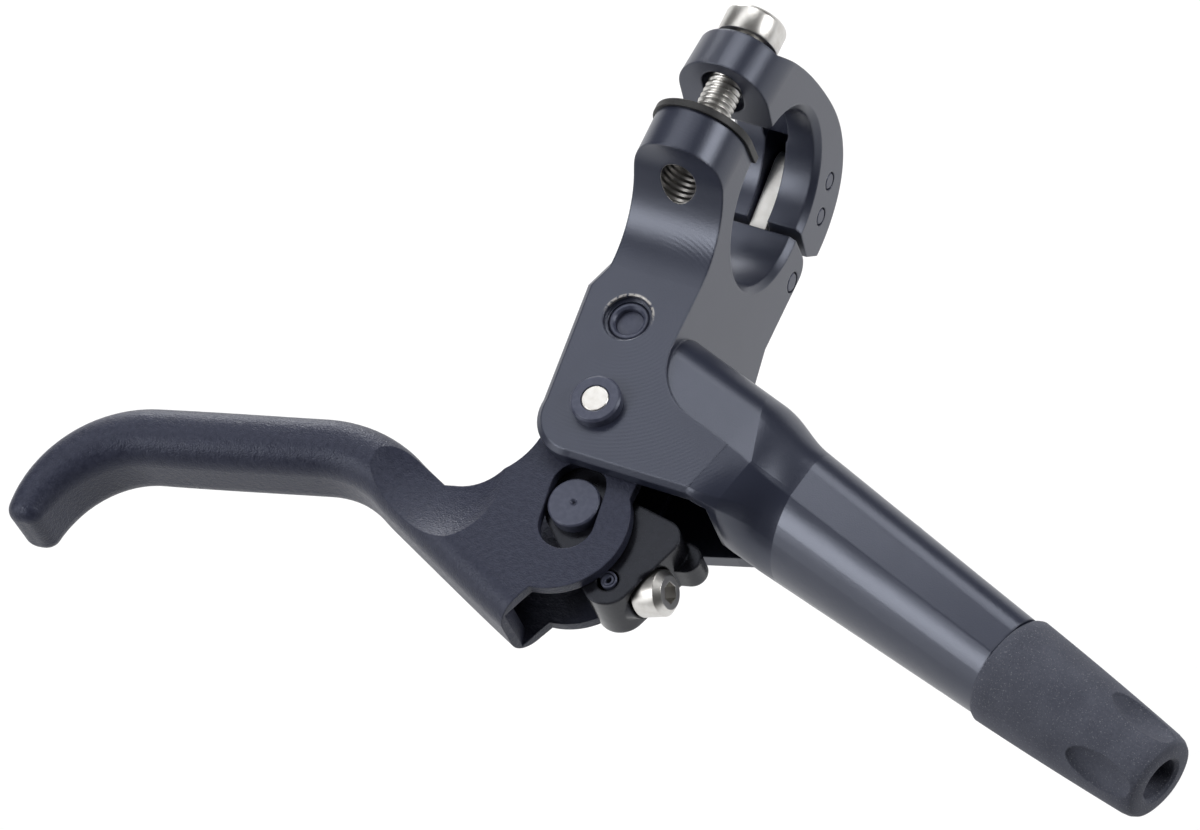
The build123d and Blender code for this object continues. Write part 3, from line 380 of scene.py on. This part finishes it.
# %% [markdown]
# ## Rubber and plastic
# The hose boot is moulded rubber: nearly black, matt, with the grain of a blasted
# mould and a little grey dust. The stopper and the bushes are plastic, which is
# harder and smoother. Noise gives both, because neither has a pattern to follow.

# %% Rubber and plastic finishes
RUBBER, PALE_RUBBER = (0.043, 0.046, 0.064, 1), (0.080, 0.085, 0.110, 1)
DUST = (0.26, 0.27, 0.30, 1)
PLASTIC, PALE_PLASTIC = (0.008, 0.008, 0.009, 1), (0.014, 0.014, 0.016, 1)


def boot_rubber():
    finish, start, where = new_finish("boot_rubber")
    grain = start.noise(where, 3000.0, 3.0)
    dust = start.noise(where, 220.0, 4.0)
    specks = start.noise(where, 5200.0, 1.0).step(0.62, 0.72)
    colour = (dust * 0.5 + grain * 0.5).step(0.35, 0.75).blend(RUBBER, PALE_RUBBER)
    colour = (specks * 0.5).blend(colour, DUST)
    surface(start, {
        "Base Color": colour, "Roughness": 0.56 + grain * 0.2, "Specular Tint": SHEEN,
        "Normal": relief(start, grain + specks * 0.6, 0.05, 0.35),
    })
    return finish


def black_plastic():
    finish, start, where = new_finish("black_plastic")
    grain = start.noise(where, 4000.0, 2.0)
    colour = grain.step(0.3, 0.7).blend(PLASTIC, PALE_PLASTIC)
    surface(start, {
        "Base Color": colour, "Roughness": 0.42 + grain * 0.16,
        "Normal": relief(start, grain, 0.01, 0.2),
    })
    return finish


rubber_finish = boot_rubber()
plastic_finish = black_plastic()
print("soft finishes:", rubber_finish.name, plastic_finish.name)

# %% [markdown]
# ## Which piece has which finish
# Pieces of the real lever share a few finishes, as they share a few suppliers. A
# table from finish to nodes shows at a glance what is made of what, and a count
# shows that no node is left bare.

# %% Give each CAD node its finish
FINISHES = {
    body_finish: ["lever_body"],
    band_finish: ["clamp_band", "reservoir_cover"],
    lever_finish: ["lever_blade"],
    strap_sheen_finish: ["clamp_strap"],
    steel_finish: ["clamp_bolt", "reach_screw", "link_axle", "piston_spring",
                   "hose_nut", "stop_washer", "cover_screws"],
    dark_finish: ["lever_axle", "cam_pin", "cam_cap", "spring_pin", "push_rod", "piston",
                  "band_pins", "hinge_pin", "axle_collars", "bleed_screw"],
    rubber_finish: ["hose_boot", "reservoir_diaphragm", "primary_seal", "secondary_seal",
                    "bleed_seal"],
    link_finish: ["cam_link"],
    plastic_finish: ["clamp_stopper", "lever_bushes", "link_bush"],
}
for finish, names in FINISHES.items():
    for name in names:
        mesh = frame["nodes"][name].data
        mesh.materials.clear()
        mesh.materials.append(finish)
BODIES = frame["record"]["behaviour"]["bodies"]
BODY_OF = {node: body for body, nodes in BODIES.items() for node in nodes}
dressed = {name for names in FINISHES.values() for name in names}
print("dressed", len(dressed), "nodes; left:", set(frame["nodes"]) - dressed)

# %% [markdown]
# ## Tools for modelling by hand
# An operator works on whatever is selected. So each step first picks faces, edges
# or points by their place, just as a hand would click them, and the next operator
# then extrudes, bevels or bridges them. A piece is modelled along Z at the origin
# and set in its place at the end, so that its place is in its mesh.

# %% Picking and placing
TINY = 0.002 * MM
MERGE = TINY / 4
CUT_LIMIT = TINY / 20
SMOOTH_ANGLE = 40.0


def fresh():
    """Object mode with nothing selected."""
    if bpy.context.object and bpy.context.object.mode != "OBJECT":
        bpy.ops.object.mode_set(mode="OBJECT")
    bpy.ops.object.select_all(action="DESELECT")


def pick(kind, test):
    """Selects the points, edges or faces whose middle passes the test, and nothing else."""
    mesh = bpy.context.edit_object.data
    bpy.ops.mesh.select_mode(type=kind)
    bpy.ops.mesh.select_all(action="DESELECT")
    shape = bmesh.from_edit_mesh(mesh)
    for item in {"VERT": shape.verts, "EDGE": shape.edges, "FACE": shape.faces}[kind]:
        corners = [item.co] if kind == "VERT" else [corner.co for corner in item.verts]
        if test(sum(corners, Vector()) / len(corners)):
            item.select_set(True)
    shape.select_flush_mode()
    bmesh.update_edit_mesh(mesh)


def one_point(name, radius, height):
    """A new object in edit mode: one selected point, radius away from Z, at that height."""
    fresh()
    bpy.ops.mesh.primitive_plane_add(size=2 * radius, location=(0, 0, 0))
    shape = bpy.context.active_object
    shape.name = name
    bpy.ops.object.mode_set(mode="EDIT")
    pick("VERT", lambda middle: middle.x < 0 or middle.y < 0)
    bpy.ops.mesh.delete(type="VERT")
    pick("VERT", lambda middle: True)
    bpy.ops.transform.translate(value=(0, -radius, height))
    return shape


def set_in_place(piece, origin, way, node, body, finish, angle=SMOOTH_ANGLE):
    """Turns a piece from Z to its way, moves it there, and lets it stand for its CAD node."""
    fresh()
    piece.select_set(True)
    bpy.context.view_layer.objects.active = piece
    turned = way.to_track_quat("Z", "Y").to_matrix().to_4x4()
    piece.matrix_world = Matrix.Translation(origin) @ turned
    bpy.ops.object.transform_apply(location=True, rotation=True, scale=True)
    bpy.ops.object.shade_smooth_by_angle(angle=math.radians(angle))
    piece.data.materials.clear()
    piece.data.materials.append(finish)
    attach(piece, body)
    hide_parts(node)
    print(piece.name, "faces:", len(piece.data.polygons), "on", body)


# %% [markdown]
# ## A socket head
# Both visible screws have a round head with a hexagon socket. The head starts as a
# cylinder whose rim is bevelled. Its top is then opened and bridged to a hexagon
# that has as many points as the rim, and the hexagon is pushed down as the socket.
# A Boolean cut would also do, but bridging keeps clean faces round the socket.

# %% Socket head
RIM_POINTS = 48
HEXAGON_CUTS = RIM_POINTS // 6 - 1


def socket_head(name, radius, height, rim, segments, flats, depth):
    """A head along Z from its seat at 0 up to its height."""
    fresh()
    bpy.ops.mesh.primitive_cylinder_add(vertices=RIM_POINTS, radius=radius, depth=height,
                                        location=(0, 0, height / 2))
    head = bpy.context.active_object
    head.name = name
    bpy.ops.object.transform_apply(location=True, rotation=True, scale=True)
    bpy.ops.object.mode_set(mode="EDIT")
    pick("EDGE", lambda middle: middle.z > height - TINY)
    bpy.ops.mesh.bevel(offset=rim, segments=segments)
    pick("EDGE", lambda middle: middle.z < TINY)
    bpy.ops.mesh.bevel(offset=rim / 3, segments=2)
    pick("FACE", lambda middle: middle.z > height - TINY)
    bpy.ops.mesh.delete(type="ONLY_FACE")
    corner = flats / math.sqrt(3)
    pick("VERT", lambda middle: False)
    bpy.ops.mesh.primitive_circle_add(vertices=6, radius=corner, location=(0, 0, height))
    bpy.ops.mesh.subdivide(number_cuts=HEXAGON_CUTS)
    pick("EDGE", lambda middle: middle.z > height - TINY)
    bpy.ops.mesh.bridge_edge_loops()
    pick("VERT", lambda middle: middle.z > height - TINY and middle.xy.length < corner + TINY)
    bpy.ops.mesh.select_mode(type="EDGE")
    bpy.ops.mesh.extrude_region_move(TRANSFORM_OT_translate={"value": (0, 0, -depth)})
    bpy.ops.mesh.edge_face_add()
    bpy.ops.mesh.poke(offset=-flats / 6)
    bpy.ops.mesh.select_all(action="SELECT")
    bpy.ops.mesh.remove_doubles(threshold=MERGE)
    bpy.ops.mesh.normals_make_consistent(inside=False)
    bpy.ops.object.mode_set(mode="OBJECT")
    return head


print("socket head ready")

# %% [markdown]
# ## A thread
# A thread is one tooth that climbs by its pitch with every turn. A single point is
# extruded into the outline of a tooth, and the Screw modifier winds it up. The
# bisect tool then cuts both ends square and closes them. Its threshold is far below
# its default of a tenth of a millimetre, which would pull a fine thread's points
# on to the cut.

# %% Threaded rod
TOOTH_STEPS, TURN_STEPS = 8, 36
CREST_WIDTH = 0.8
# The tooth starts a little over one turn early, so that no point lies on the cut.
THREAD_LEAD = 1.007


def threaded_rod(name, crest, root, pitch, low, high):
    """A thread along Z from low to high, with soft crests as rolled threads have."""
    rod = one_point(name, root, low - pitch * THREAD_LEAD)
    parts = [step / TOOTH_STEPS for step in range(TOOTH_STEPS + 1)]
    swells = [(0.5 - 0.5 * math.cos(math.tau * part)) ** CREST_WIDTH for part in parts]
    tooth = [(root + (crest - root) * swell, pitch * part) for swell, part in zip(swells, parts)]
    for (radius, rise), (next_radius, next_rise) in zip(tooth, tooth[1:]):
        climb = (next_radius - radius, 0, next_rise - rise)
        bpy.ops.mesh.extrude_vertices_move(TRANSFORM_OT_translate={"value": climb})
    bpy.ops.object.mode_set(mode="OBJECT")
    bpy.ops.object.modifier_add(type="SCREW")
    winding = rod.modifiers[-1]
    winding.axis, winding.screw_offset = "Z", pitch
    winding.iterations = math.ceil((high - low) / pitch) + 2
    winding.steps = winding.render_steps = TURN_STEPS
    winding.use_merge_vertices, winding.merge_threshold = True, MERGE
    bpy.ops.object.modifier_apply(modifier=winding.name)
    bpy.ops.object.mode_set(mode="EDIT")
    bpy.ops.mesh.select_all(action="SELECT")
    bpy.ops.mesh.remove_doubles(threshold=MERGE)
    bpy.ops.mesh.bisect(plane_co=(0, 0, low), plane_no=(0, 0, 1), use_fill=True,
                        clear_inner=True, threshold=CUT_LIMIT)
    bpy.ops.mesh.select_all(action="SELECT")
    bpy.ops.mesh.bisect(plane_co=(0, 0, high), plane_no=(0, 0, 1), use_fill=True,
                        clear_outer=True, threshold=CUT_LIMIT)
    bpy.ops.mesh.select_all(action="SELECT")
    bpy.ops.mesh.normals_make_consistent(inside=False)
    bpy.ops.object.mode_set(mode="OBJECT")
    return rod


def joined(name, *shapes):
    """Several shapes as one piece."""
    fresh()
    for shape in shapes:
        shape.select_set(True)
    bpy.context.view_layer.objects.active = shapes[0]
    bpy.ops.object.join()
    shapes[0].name = name
    return shapes[0]


print("thread ready")

# %% [markdown]
# ## Clamp bolt
# The bolt that closes the clamp is the brightest piece of the lever. Its rolled
# thread shows between the two lugs. A bump could only shade a thread, and its
# outline would stay straight. The CAD bolt has a plain shank, so this one takes its
# place and its length, and its thread is a hair thinner than the hole.

# %% Clamp bolt
bolt_low, bolt_high = (Vector(corner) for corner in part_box("clamp_bolt"))
BOLT_HEAD, BOLT_HEAD_RADIUS, BOLT_RIM = 3.9 * MM, 4.25 * MM, 0.8 * MM
BOLT_FLATS, BOLT_SOCKET = 4.0 * MM, 2.4 * MM
BOLT_CREST, BOLT_ROOT = 2.46 * MM, 2.08 * MM
HEAD_OVERLAP = 0.1 * MM
bolt_seat = bolt_high.y - BOLT_HEAD
bolt_length = bolt_seat - bolt_low.y
bolt_head = socket_head("bolt_head", BOLT_HEAD_RADIUS, BOLT_HEAD, BOLT_RIM, 5,
                        BOLT_FLATS, BOLT_SOCKET)
bolt_thread = threaded_rod("bolt_thread", BOLT_CREST, BOLT_ROOT, THREAD_PITCH,
                           -bolt_length, HEAD_OVERLAP)
clamp_screw = joined("clamp_screw", bolt_head, bolt_thread)
set_in_place(clamp_screw, Vector((BOLT_AXIS.x, bolt_seat, BOLT_AXIS.z)), Vector((0, 1, 0)),
             "clamp_bolt", BODY_OF["clamp_bolt"], steel_finish)

# %% [markdown]
# ## Reach screw
# This small screw sets how far the lever stands from the bar. Its head has a wide
# chamfer and a hexagon socket. It is made with the same two tools as the bolt, and
# a bevel of one segment gives the chamfer.

# %% Reach screw
REACH_START = Vector((13.8, -57.4, 0.2)) * MM
REACH_WAY = Vector((0.93, 0.2, 0.3)).normalized()
HEAD_GAP = 0.3 * MM
REACH_HEAD, REACH_HEAD_RADIUS, REACH_CHAMFER = 4.2 * MM, 3.0 * MM, 0.8 * MM
REACH_FLATS, REACH_SOCKET = 2.5 * MM, 2.2 * MM
REACH_CREST, REACH_ROOT, REACH_PITCH = 1.48 * MM, 1.22 * MM, 0.5 * MM
REACH_LENGTH = 7.0 * MM
reach_head = socket_head("reach_head", REACH_HEAD_RADIUS, REACH_HEAD, REACH_CHAMFER, 1,
                         REACH_FLATS, REACH_SOCKET)
reach_thread = threaded_rod("reach_thread", REACH_CREST, REACH_ROOT, REACH_PITCH,
                            -REACH_LENGTH, HEAD_OVERLAP)
reach_piece = joined("reach_piece", reach_head, reach_thread)
set_in_place(reach_piece, REACH_START + REACH_WAY * HEAD_GAP, REACH_WAY,
             "reach_screw", BODY_OF["reach_screw"], steel_finish)

# %% [markdown]
# ## Rolled spring pin
# A coiled pin is a strip of spring steel rolled up like a carpet. One edge is
# extruded, turned and drawn in, step by step, and Solidify gives the strip its
# thickness. The coil's end then shows as the fine spiral of the real pin, which a
# plain cylinder would not have.

# %% Rolled pin
def rolled_strip(name, radius, core, wall, low, high, turns, steps):
    """A strip rolled up about Z from its outer radius to its core."""
    roll = one_point(name, radius, low)
    bpy.ops.mesh.extrude_vertices_move(TRANSFORM_OT_translate={"value": (0, 0, high - low)})
    pick("EDGE", lambda middle: True)
    shrink = (core / radius) ** (1 / steps)
    turn = math.tau * turns / steps
    for step in range(steps):
        bpy.ops.mesh.extrude_edges_move(TRANSFORM_OT_translate={"value": (0, 0, 0)})
        bpy.ops.transform.rotate(value=turn, orient_axis="Z", center_override=(0, 0, 0))
        bpy.ops.transform.resize(value=(shrink, shrink, 1), center_override=(0, 0, 0))
    bpy.ops.mesh.select_all(action="SELECT")
    bpy.ops.mesh.normals_make_consistent(inside=False)
    bpy.ops.object.mode_set(mode="OBJECT")
    bpy.ops.object.modifier_add(type="SOLIDIFY")
    thick = roll.modifiers[-1]
    thick.thickness, thick.offset = wall, 0.0
    bpy.ops.object.modifier_apply(modifier=thick.name)
    bpy.ops.object.modifier_add(type="BEVEL")
    soft = roll.modifiers[-1]
    soft.width, soft.segments, soft.limit_method = wall / 5, 2, "ANGLE"
    bpy.ops.object.modifier_apply(modifier=soft.name)
    return roll


pin_low, pin_high = (Vector(corner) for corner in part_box("spring_pin"))
pin_centre = (pin_low + pin_high) / 2
PIN_RADIUS, PIN_CORE, PIN_WALL = 1.3 * MM, 0.4 * MM, 0.3 * MM
PIN_TURNS, PIN_STEPS = 2.25, 54
roll = rolled_strip("rolled_pin", PIN_RADIUS, PIN_CORE, PIN_WALL, pin_low.z, pin_high.z,
                    PIN_TURNS, PIN_STEPS)
set_in_place(roll, Vector((pin_centre.x, pin_centre.y, 0)), Vector((0, 0, 1)),
             "spring_pin", BODY_OF["spring_pin"], dark_finish)

# %% [markdown]
# ## A turned sleeve
# A moulded sleeve has the same wall all round. So its wall is drawn as a closed
# outline, point by point, and the Screw modifier turns the outline once round Z. A
# pipe with bevels would work too, but the outline holds every step at once.

# %% Turned sleeve
def turned_sleeve(name, outline, steps):
    """A closed outline of (radius, height) points, turned once round Z."""
    radius, height = outline[0]
    sleeve = one_point(name, radius, height)
    for next_radius, next_height in outline[1:] + outline[:1]:
        step = (next_radius - radius, 0, next_height - height)
        bpy.ops.mesh.extrude_vertices_move(TRANSFORM_OT_translate={"value": step})
        radius, height = next_radius, next_height
    bpy.ops.mesh.select_all(action="SELECT")
    bpy.ops.mesh.remove_doubles(threshold=MERGE)
    bpy.ops.object.mode_set(mode="OBJECT")
    bpy.ops.object.modifier_add(type="SCREW")
    turning = sleeve.modifiers[-1]
    turning.axis, turning.steps, turning.render_steps = "Z", steps, steps
    turning.use_merge_vertices, turning.merge_threshold = True, MERGE
    bpy.ops.object.modifier_apply(modifier=turning.name)
    bpy.ops.object.mode_set(mode="EDIT")
    bpy.ops.mesh.select_all(action="SELECT")
    bpy.ops.mesh.remove_doubles(threshold=MERGE)
    bpy.ops.mesh.normals_make_consistent(inside=False)
    bpy.ops.object.mode_set(mode="OBJECT")
    return sleeve


print("sleeve ready")

# %% [markdown]
# ## Hose boot
# The boot is a rubber sleeve over the hose's end. Its wall narrows towards the hose
# in a slow curve. Four long hollows give the fingers a grip. They are cut by four
# stretched balls, because a Boolean leaves the crisp rim that the real hollows have.

# %% Hose boot
TUBE_END = 63.5 * MM
BOOT_LENGTH = 25.0
WALL_START, WALL_RUN, WALL_STEPS = 0.6, 22.6, 16
WALL_RADIUS, WALL_TAPER, WALL_CURVE = 7.45, 0.050, 0.0008
BOOT_STEPS = 96
BOOT_ANGLE = 32.0
HOLLOW_PLACE, HOLLOW_TURN, HOLLOWS = 20.4, 50.0, 4
HOLLOW_SIZE = Vector((1.9, 2.7, 5.6)) * MM
HOLLOW_DEPTH = 1.15


def wall_radius(height):
    """Outer radius of the boot in millimetres."""
    run = height - WALL_START
    return WALL_RADIUS - WALL_TAPER * run - WALL_CURVE * run ** 2


rise = [WALL_START + WALL_RUN * part / WALL_STEPS for part in range(WALL_STEPS + 1)]
wall = [(wall_radius(height), height) for height in rise]
lip = [(5.6, 0.0), (6.75, 0.0), (7.25, 0.18)]
tip = [(5.72, 24.1), (5.35, 24.7), (4.7, BOOT_LENGTH), (3.3, BOOT_LENGTH), (2.85, 24.6)]
inside = [(2.75, 23.8), (2.6, 9.3), (4.92, 9.3), (4.92, 5.0), (5.6, 5.0)]
outline = [(radius * MM, height * MM) for radius, height in lip + wall + tip + inside]
sleeve = turned_sleeve("boot_sleeve", outline, BOOT_STEPS)
print("boot's wall at its hollows in mm:", wall_radius(HOLLOW_PLACE))

# %% [markdown]
# The balls stand round the sleeve, with their far side at the depth of the hollows.
# They are joined to one cutter, which goes when the cut is made.

# %% Hollows of the boot
ball_out = (wall_radius(HOLLOW_PLACE) - HOLLOW_DEPTH) * MM + HOLLOW_SIZE.x
balls = []
for number in range(HOLLOWS):
    turn = math.radians(HOLLOW_TURN + 360.0 * number / HOLLOWS)
    fresh()
    bpy.ops.mesh.primitive_uv_sphere_add(
        segments=48, ring_count=24, radius=1.0, rotation=(0, 0, turn), scale=HOLLOW_SIZE,
        location=(ball_out * math.cos(turn), ball_out * math.sin(turn), HOLLOW_PLACE * MM))
    bpy.ops.object.transform_apply(location=True, rotation=True, scale=True)
    balls.append(bpy.context.active_object)
cutter = joined("boot_cutter", *balls)
fresh()
sleeve.select_set(True)
bpy.context.view_layer.objects.active = sleeve
bpy.ops.object.modifier_add(type="BOOLEAN")
hollow = sleeve.modifiers[-1]
hollow.operation, hollow.solver, hollow.object = "DIFFERENCE", "EXACT", cutter
bpy.ops.object.modifier_apply(modifier=hollow.name)
bpy.data.objects.remove(cutter)
set_in_place(sleeve, TUBE_START + TUBE_WAY * TUBE_END, TUBE_WAY,
             "hose_boot", BODY_OF["hose_boot"], rubber_finish, BOOT_ANGLE)

# %% [markdown]
# ## Plug of the lever's axle
# The axle is a hollow pin, and a small plug closes it a little below its end. A disc
# is extruded and its rim bevelled, and its face is inset and pushed in to a dish. A
# dark spot in the finish would do from one side only.

# %% Axle plug
PLUG_RADIUS, PLUG_HEIGHT, PLUG_BELOW = 1.9 * MM, 1.6 * MM, 0.9 * MM
PLUG_DISH = PLUG_RIM = 0.15 * MM
axle_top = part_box("lever_axle")[1][2]
fresh()
bpy.ops.mesh.primitive_circle_add(vertices=40, radius=PLUG_RADIUS, fill_type="NGON")
plug = bpy.context.active_object
plug.name = "axle_plug"
bpy.ops.object.mode_set(mode="EDIT")
bpy.ops.mesh.select_all(action="SELECT")
bpy.ops.mesh.extrude_region_move(TRANSFORM_OT_translate={"value": (0, 0, PLUG_HEIGHT)})
bpy.ops.mesh.inset(thickness=PLUG_RADIUS / 3, depth=-PLUG_DISH)
pick("EDGE", lambda middle: middle.z > PLUG_HEIGHT - TINY
     and middle.xy.length > PLUG_RADIUS * 0.95)
bpy.ops.mesh.bevel(offset=PLUG_RIM, segments=2)
bpy.ops.mesh.select_all(action="SELECT")
bpy.ops.mesh.normals_make_consistent(inside=False)
bpy.ops.object.mode_set(mode="OBJECT")
plug.location = (LEVER_AXIS.x, LEVER_AXIS.y, axle_top - PLUG_BELOW - PLUG_HEIGHT)
bpy.ops.object.transform_apply(location=True, rotation=True, scale=True)
bpy.ops.object.shade_smooth_by_angle(angle=math.radians(SMOOTH_ANGLE))
plug.data.materials.append(dark_finish)
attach(plug, BODY_OF["lever_axle"])
print("plug top in mm:", (axle_top - PLUG_BELOW) / MM)

# %% [markdown]
# ## Piston spring
# A coil of round wire pushes the piston back when the lever is let go. A circle of
# wire is wound up by the Screw modifier and its two ends are closed. When the lever
# is pulled the piston presses the coil together. Its far end and the share of its
# length left when pressed are worked out below, but nothing uses them.

# %% Piston spring
WIRE_POINTS, COIL_STEPS = 12, 32


def wound_spring(name, coil, wire, height, turns):
    """A coil along Z from 0 to its height; coil is measured across the middle of the wire."""
    fresh()
    bpy.ops.mesh.primitive_circle_add(vertices=WIRE_POINTS, radius=wire / 2,
                                      location=(coil / 2, 0, wire / 2),
                                      rotation=(math.pi / 2, 0, 0))
    spring = bpy.context.active_object
    spring.name = name
    bpy.ops.object.transform_apply(location=True, rotation=True, scale=True)
    bpy.ops.object.modifier_add(type="SCREW")
    winding = spring.modifiers[-1]
    winding.axis, winding.screw_offset, winding.iterations = "Z", (height - wire) / turns, turns
    winding.steps = winding.render_steps = COIL_STEPS
    bpy.ops.object.modifier_apply(modifier=winding.name)
    bpy.ops.object.mode_set(mode="EDIT")
    bpy.ops.mesh.select_all(action="SELECT")
    bpy.ops.mesh.fill_holes(sides=0)
    bpy.ops.mesh.select_all(action="SELECT")
    bpy.ops.mesh.normals_make_consistent(inside=False)
    bpy.ops.object.mode_set(mode="OBJECT")
    return spring


SPRING_COIL, SPRING_WIRE, SPRING_TURNS = 7.2 * MM, 0.9 * MM, 5
SPRING_GAP = 0.05 * MM
PISTON_TRAVEL = 3.8 * MM
spring_points = frame["nodes"]["piston_spring"].data.vertices
spring_places = [(point.co - TUBE_START).dot(TUBE_WAY) for point in spring_points]
spring_low, spring_high = min(spring_places) + SPRING_GAP, max(spring_places) - SPRING_GAP
spring_height = spring_high - spring_low
piston_coil = wound_spring("piston_coil", SPRING_COIL, SPRING_WIRE, spring_height, SPRING_TURNS)
set_in_place(piston_coil, TUBE_START + TUBE_WAY * spring_low, TUBE_WAY,
             "piston_spring", BODY_OF["piston_spring"], steel_finish)
tuple(TUBE_START + TUBE_WAY * spring_high)
1 - (PISTON_TRAVEL + SPRING_GAP) / spring_height
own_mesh(piston_coil)
print("spring height in mm:", spring_height / MM)

# %% [markdown]
# ## Floor
# The photograph is a studio shot on white. A large pale floor lies well below the
# part. To the camera, and in glossy pieces, it also glows a little, so that it
# reads as white and still keeps a soft shadow. More lamps would whiten it too, but
# they would also wash out the black finishes.

# %% Floor
FLOOR_SIZE, FLOOR_HEIGHT = 40.0, -0.11
PAPER, WHITE = (0.485, 0.485, 0.485, 1), (1, 1, 1, 1)
GLOW = 0.57


def background_seen(start):
    """1 for a ray from the camera, a gloss or a clear piece, and 0 for any other."""
    rays = start.node("ShaderNodeLightPath")
    outputs = rays.socket.node.outputs
    seen = Tone(rays.tree, outputs["Is Camera Ray"])
    for name in ("Is Glossy Ray", "Is Transmission Ray"):
        seen = start.math("MAXIMUM", seen, Tone(rays.tree, outputs[name]))
    return seen


fresh()
bpy.ops.mesh.primitive_plane_add(size=FLOOR_SIZE, location=(0, 0, FLOOR_HEIGHT))
floor = bpy.context.active_object
floor.name = "floor"
paper, start = new_material("paper_floor")
seen = background_seen(start)
lit = start.node("ShaderNodeBsdfDiffuse", {}, {"Color": PAPER})
glow = start.node("ShaderNodeEmission", {}, {"Color": WHITE, "Strength": seen * GLOW})
both = start.node("ShaderNodeAddShader", {}, {0: lit, 1: glow})
start.node("ShaderNodeOutputMaterial", {}, {"Surface": both})
floor.data.materials.append(paper)
print("floor at", floor.location.z)

# %% [markdown]
# ## World
# Some light reaches an object from everywhere in a studio, off walls and ceiling. A
# plain, weak world gives it. An image of a studio would give the same fill, but it
# would also add reflections that the photograph does not have.

# %% World
FILL = 0.06
world = bpy.data.worlds.new("studio")
bpy.context.scene.world = world
world.use_nodes = True
sky = world.node_tree.nodes["Background"].inputs
sky["Color"].default_value = WHITE
sky["Strength"].default_value = FILL
print("world:", world.name)

# %% [markdown]
# ## Camera
# The photograph was taken from the side of the pivot pins, from some way off, with a
# long lens. The camera's three directions and its place were found by laying the
# part's outline over the photograph. A camera aimed at a target would be simpler to
# write, but it would lose the photograph's tilt.

# %% Camera at the photograph's angle
RIGHT = Vector((0.8775, 0.4144, -0.2413))
UP = Vector((-0.2672, 0.8404, 0.4716))
TOWARD = Vector((0.3982, -0.3494, 0.8481))
LENS, SENSOR = 159.6, 36.0
eye = Vector((271.7, -276.0, 584.0)) * MM
camera_data = bpy.data.cameras.new("camera")
camera_data.sensor_width = SENSOR
camera_data.lens = LENS
camera = bpy.data.objects.new("camera", camera_data)
bpy.context.scene.collection.objects.link(camera)
camera.matrix_world = Matrix((
    (RIGHT.x, UP.x, TOWARD.x, eye.x),
    (RIGHT.y, UP.y, TOWARD.y, eye.y),
    (RIGHT.z, UP.z, TOWARD.z, eye.z),
    (0, 0, 0, 1),
))
bpy.context.scene.camera = camera
bpy.context.scene.view_settings.view_transform = "Standard"
print("camera lens", camera_data.lens)

# %% [markdown]
# ## Lamps
# Black parts are seen by what they reflect. Six soft boxes stand round the part, each
# where the photograph shows a bright streak: three on the left, one on the right, one
# above and one behind. Each is set by its direction in the picture, so that a
# streak is moved by moving its lamp the same way.

# %% Lamps
LAMP_DISTANCE = 0.9
BOX = (0.42, 0.42)


def soft_box(name, way, size, power):
    """A lamp in that direction (right, up, toward) of the picture, turned to the object."""
    aside, above, toward = way
    way = (RIGHT * aside + UP * above + TOWARD * toward).normalized()
    data = bpy.data.lights.new(name, "AREA")
    data.shape = "RECTANGLE"
    data.size, data.size_y = size
    data.energy = power
    lamp = bpy.data.objects.new(name, data)
    bpy.context.scene.collection.objects.link(lamp)
    lamp.matrix_world = way.to_track_quat("Z", "Y").to_matrix().to_4x4()
    lamp.location = way * LAMP_DISTANCE
    return lamp


lamps = [
    soft_box("left_box", (-0.84, 0.0, 0.54), BOX, 4.2),
    soft_box("left_high", (-0.55, 0.71, 0.40), (0.60, 0.42), 1.4),
    soft_box("left_low", (-0.91, -0.37, 0.19), BOX, 0.9),
    soft_box("right_box", (0.72, 0.37, 0.58), BOX, 3.8),
    soft_box("top_box", (0.0, 0.93, 0.37), BOX, 2.2),
    soft_box("back_box", (-0.22, 0.88, -0.42), (0.36, 0.42), 3.8),
]
print("lamps:", [lamp.name for lamp in lamps])
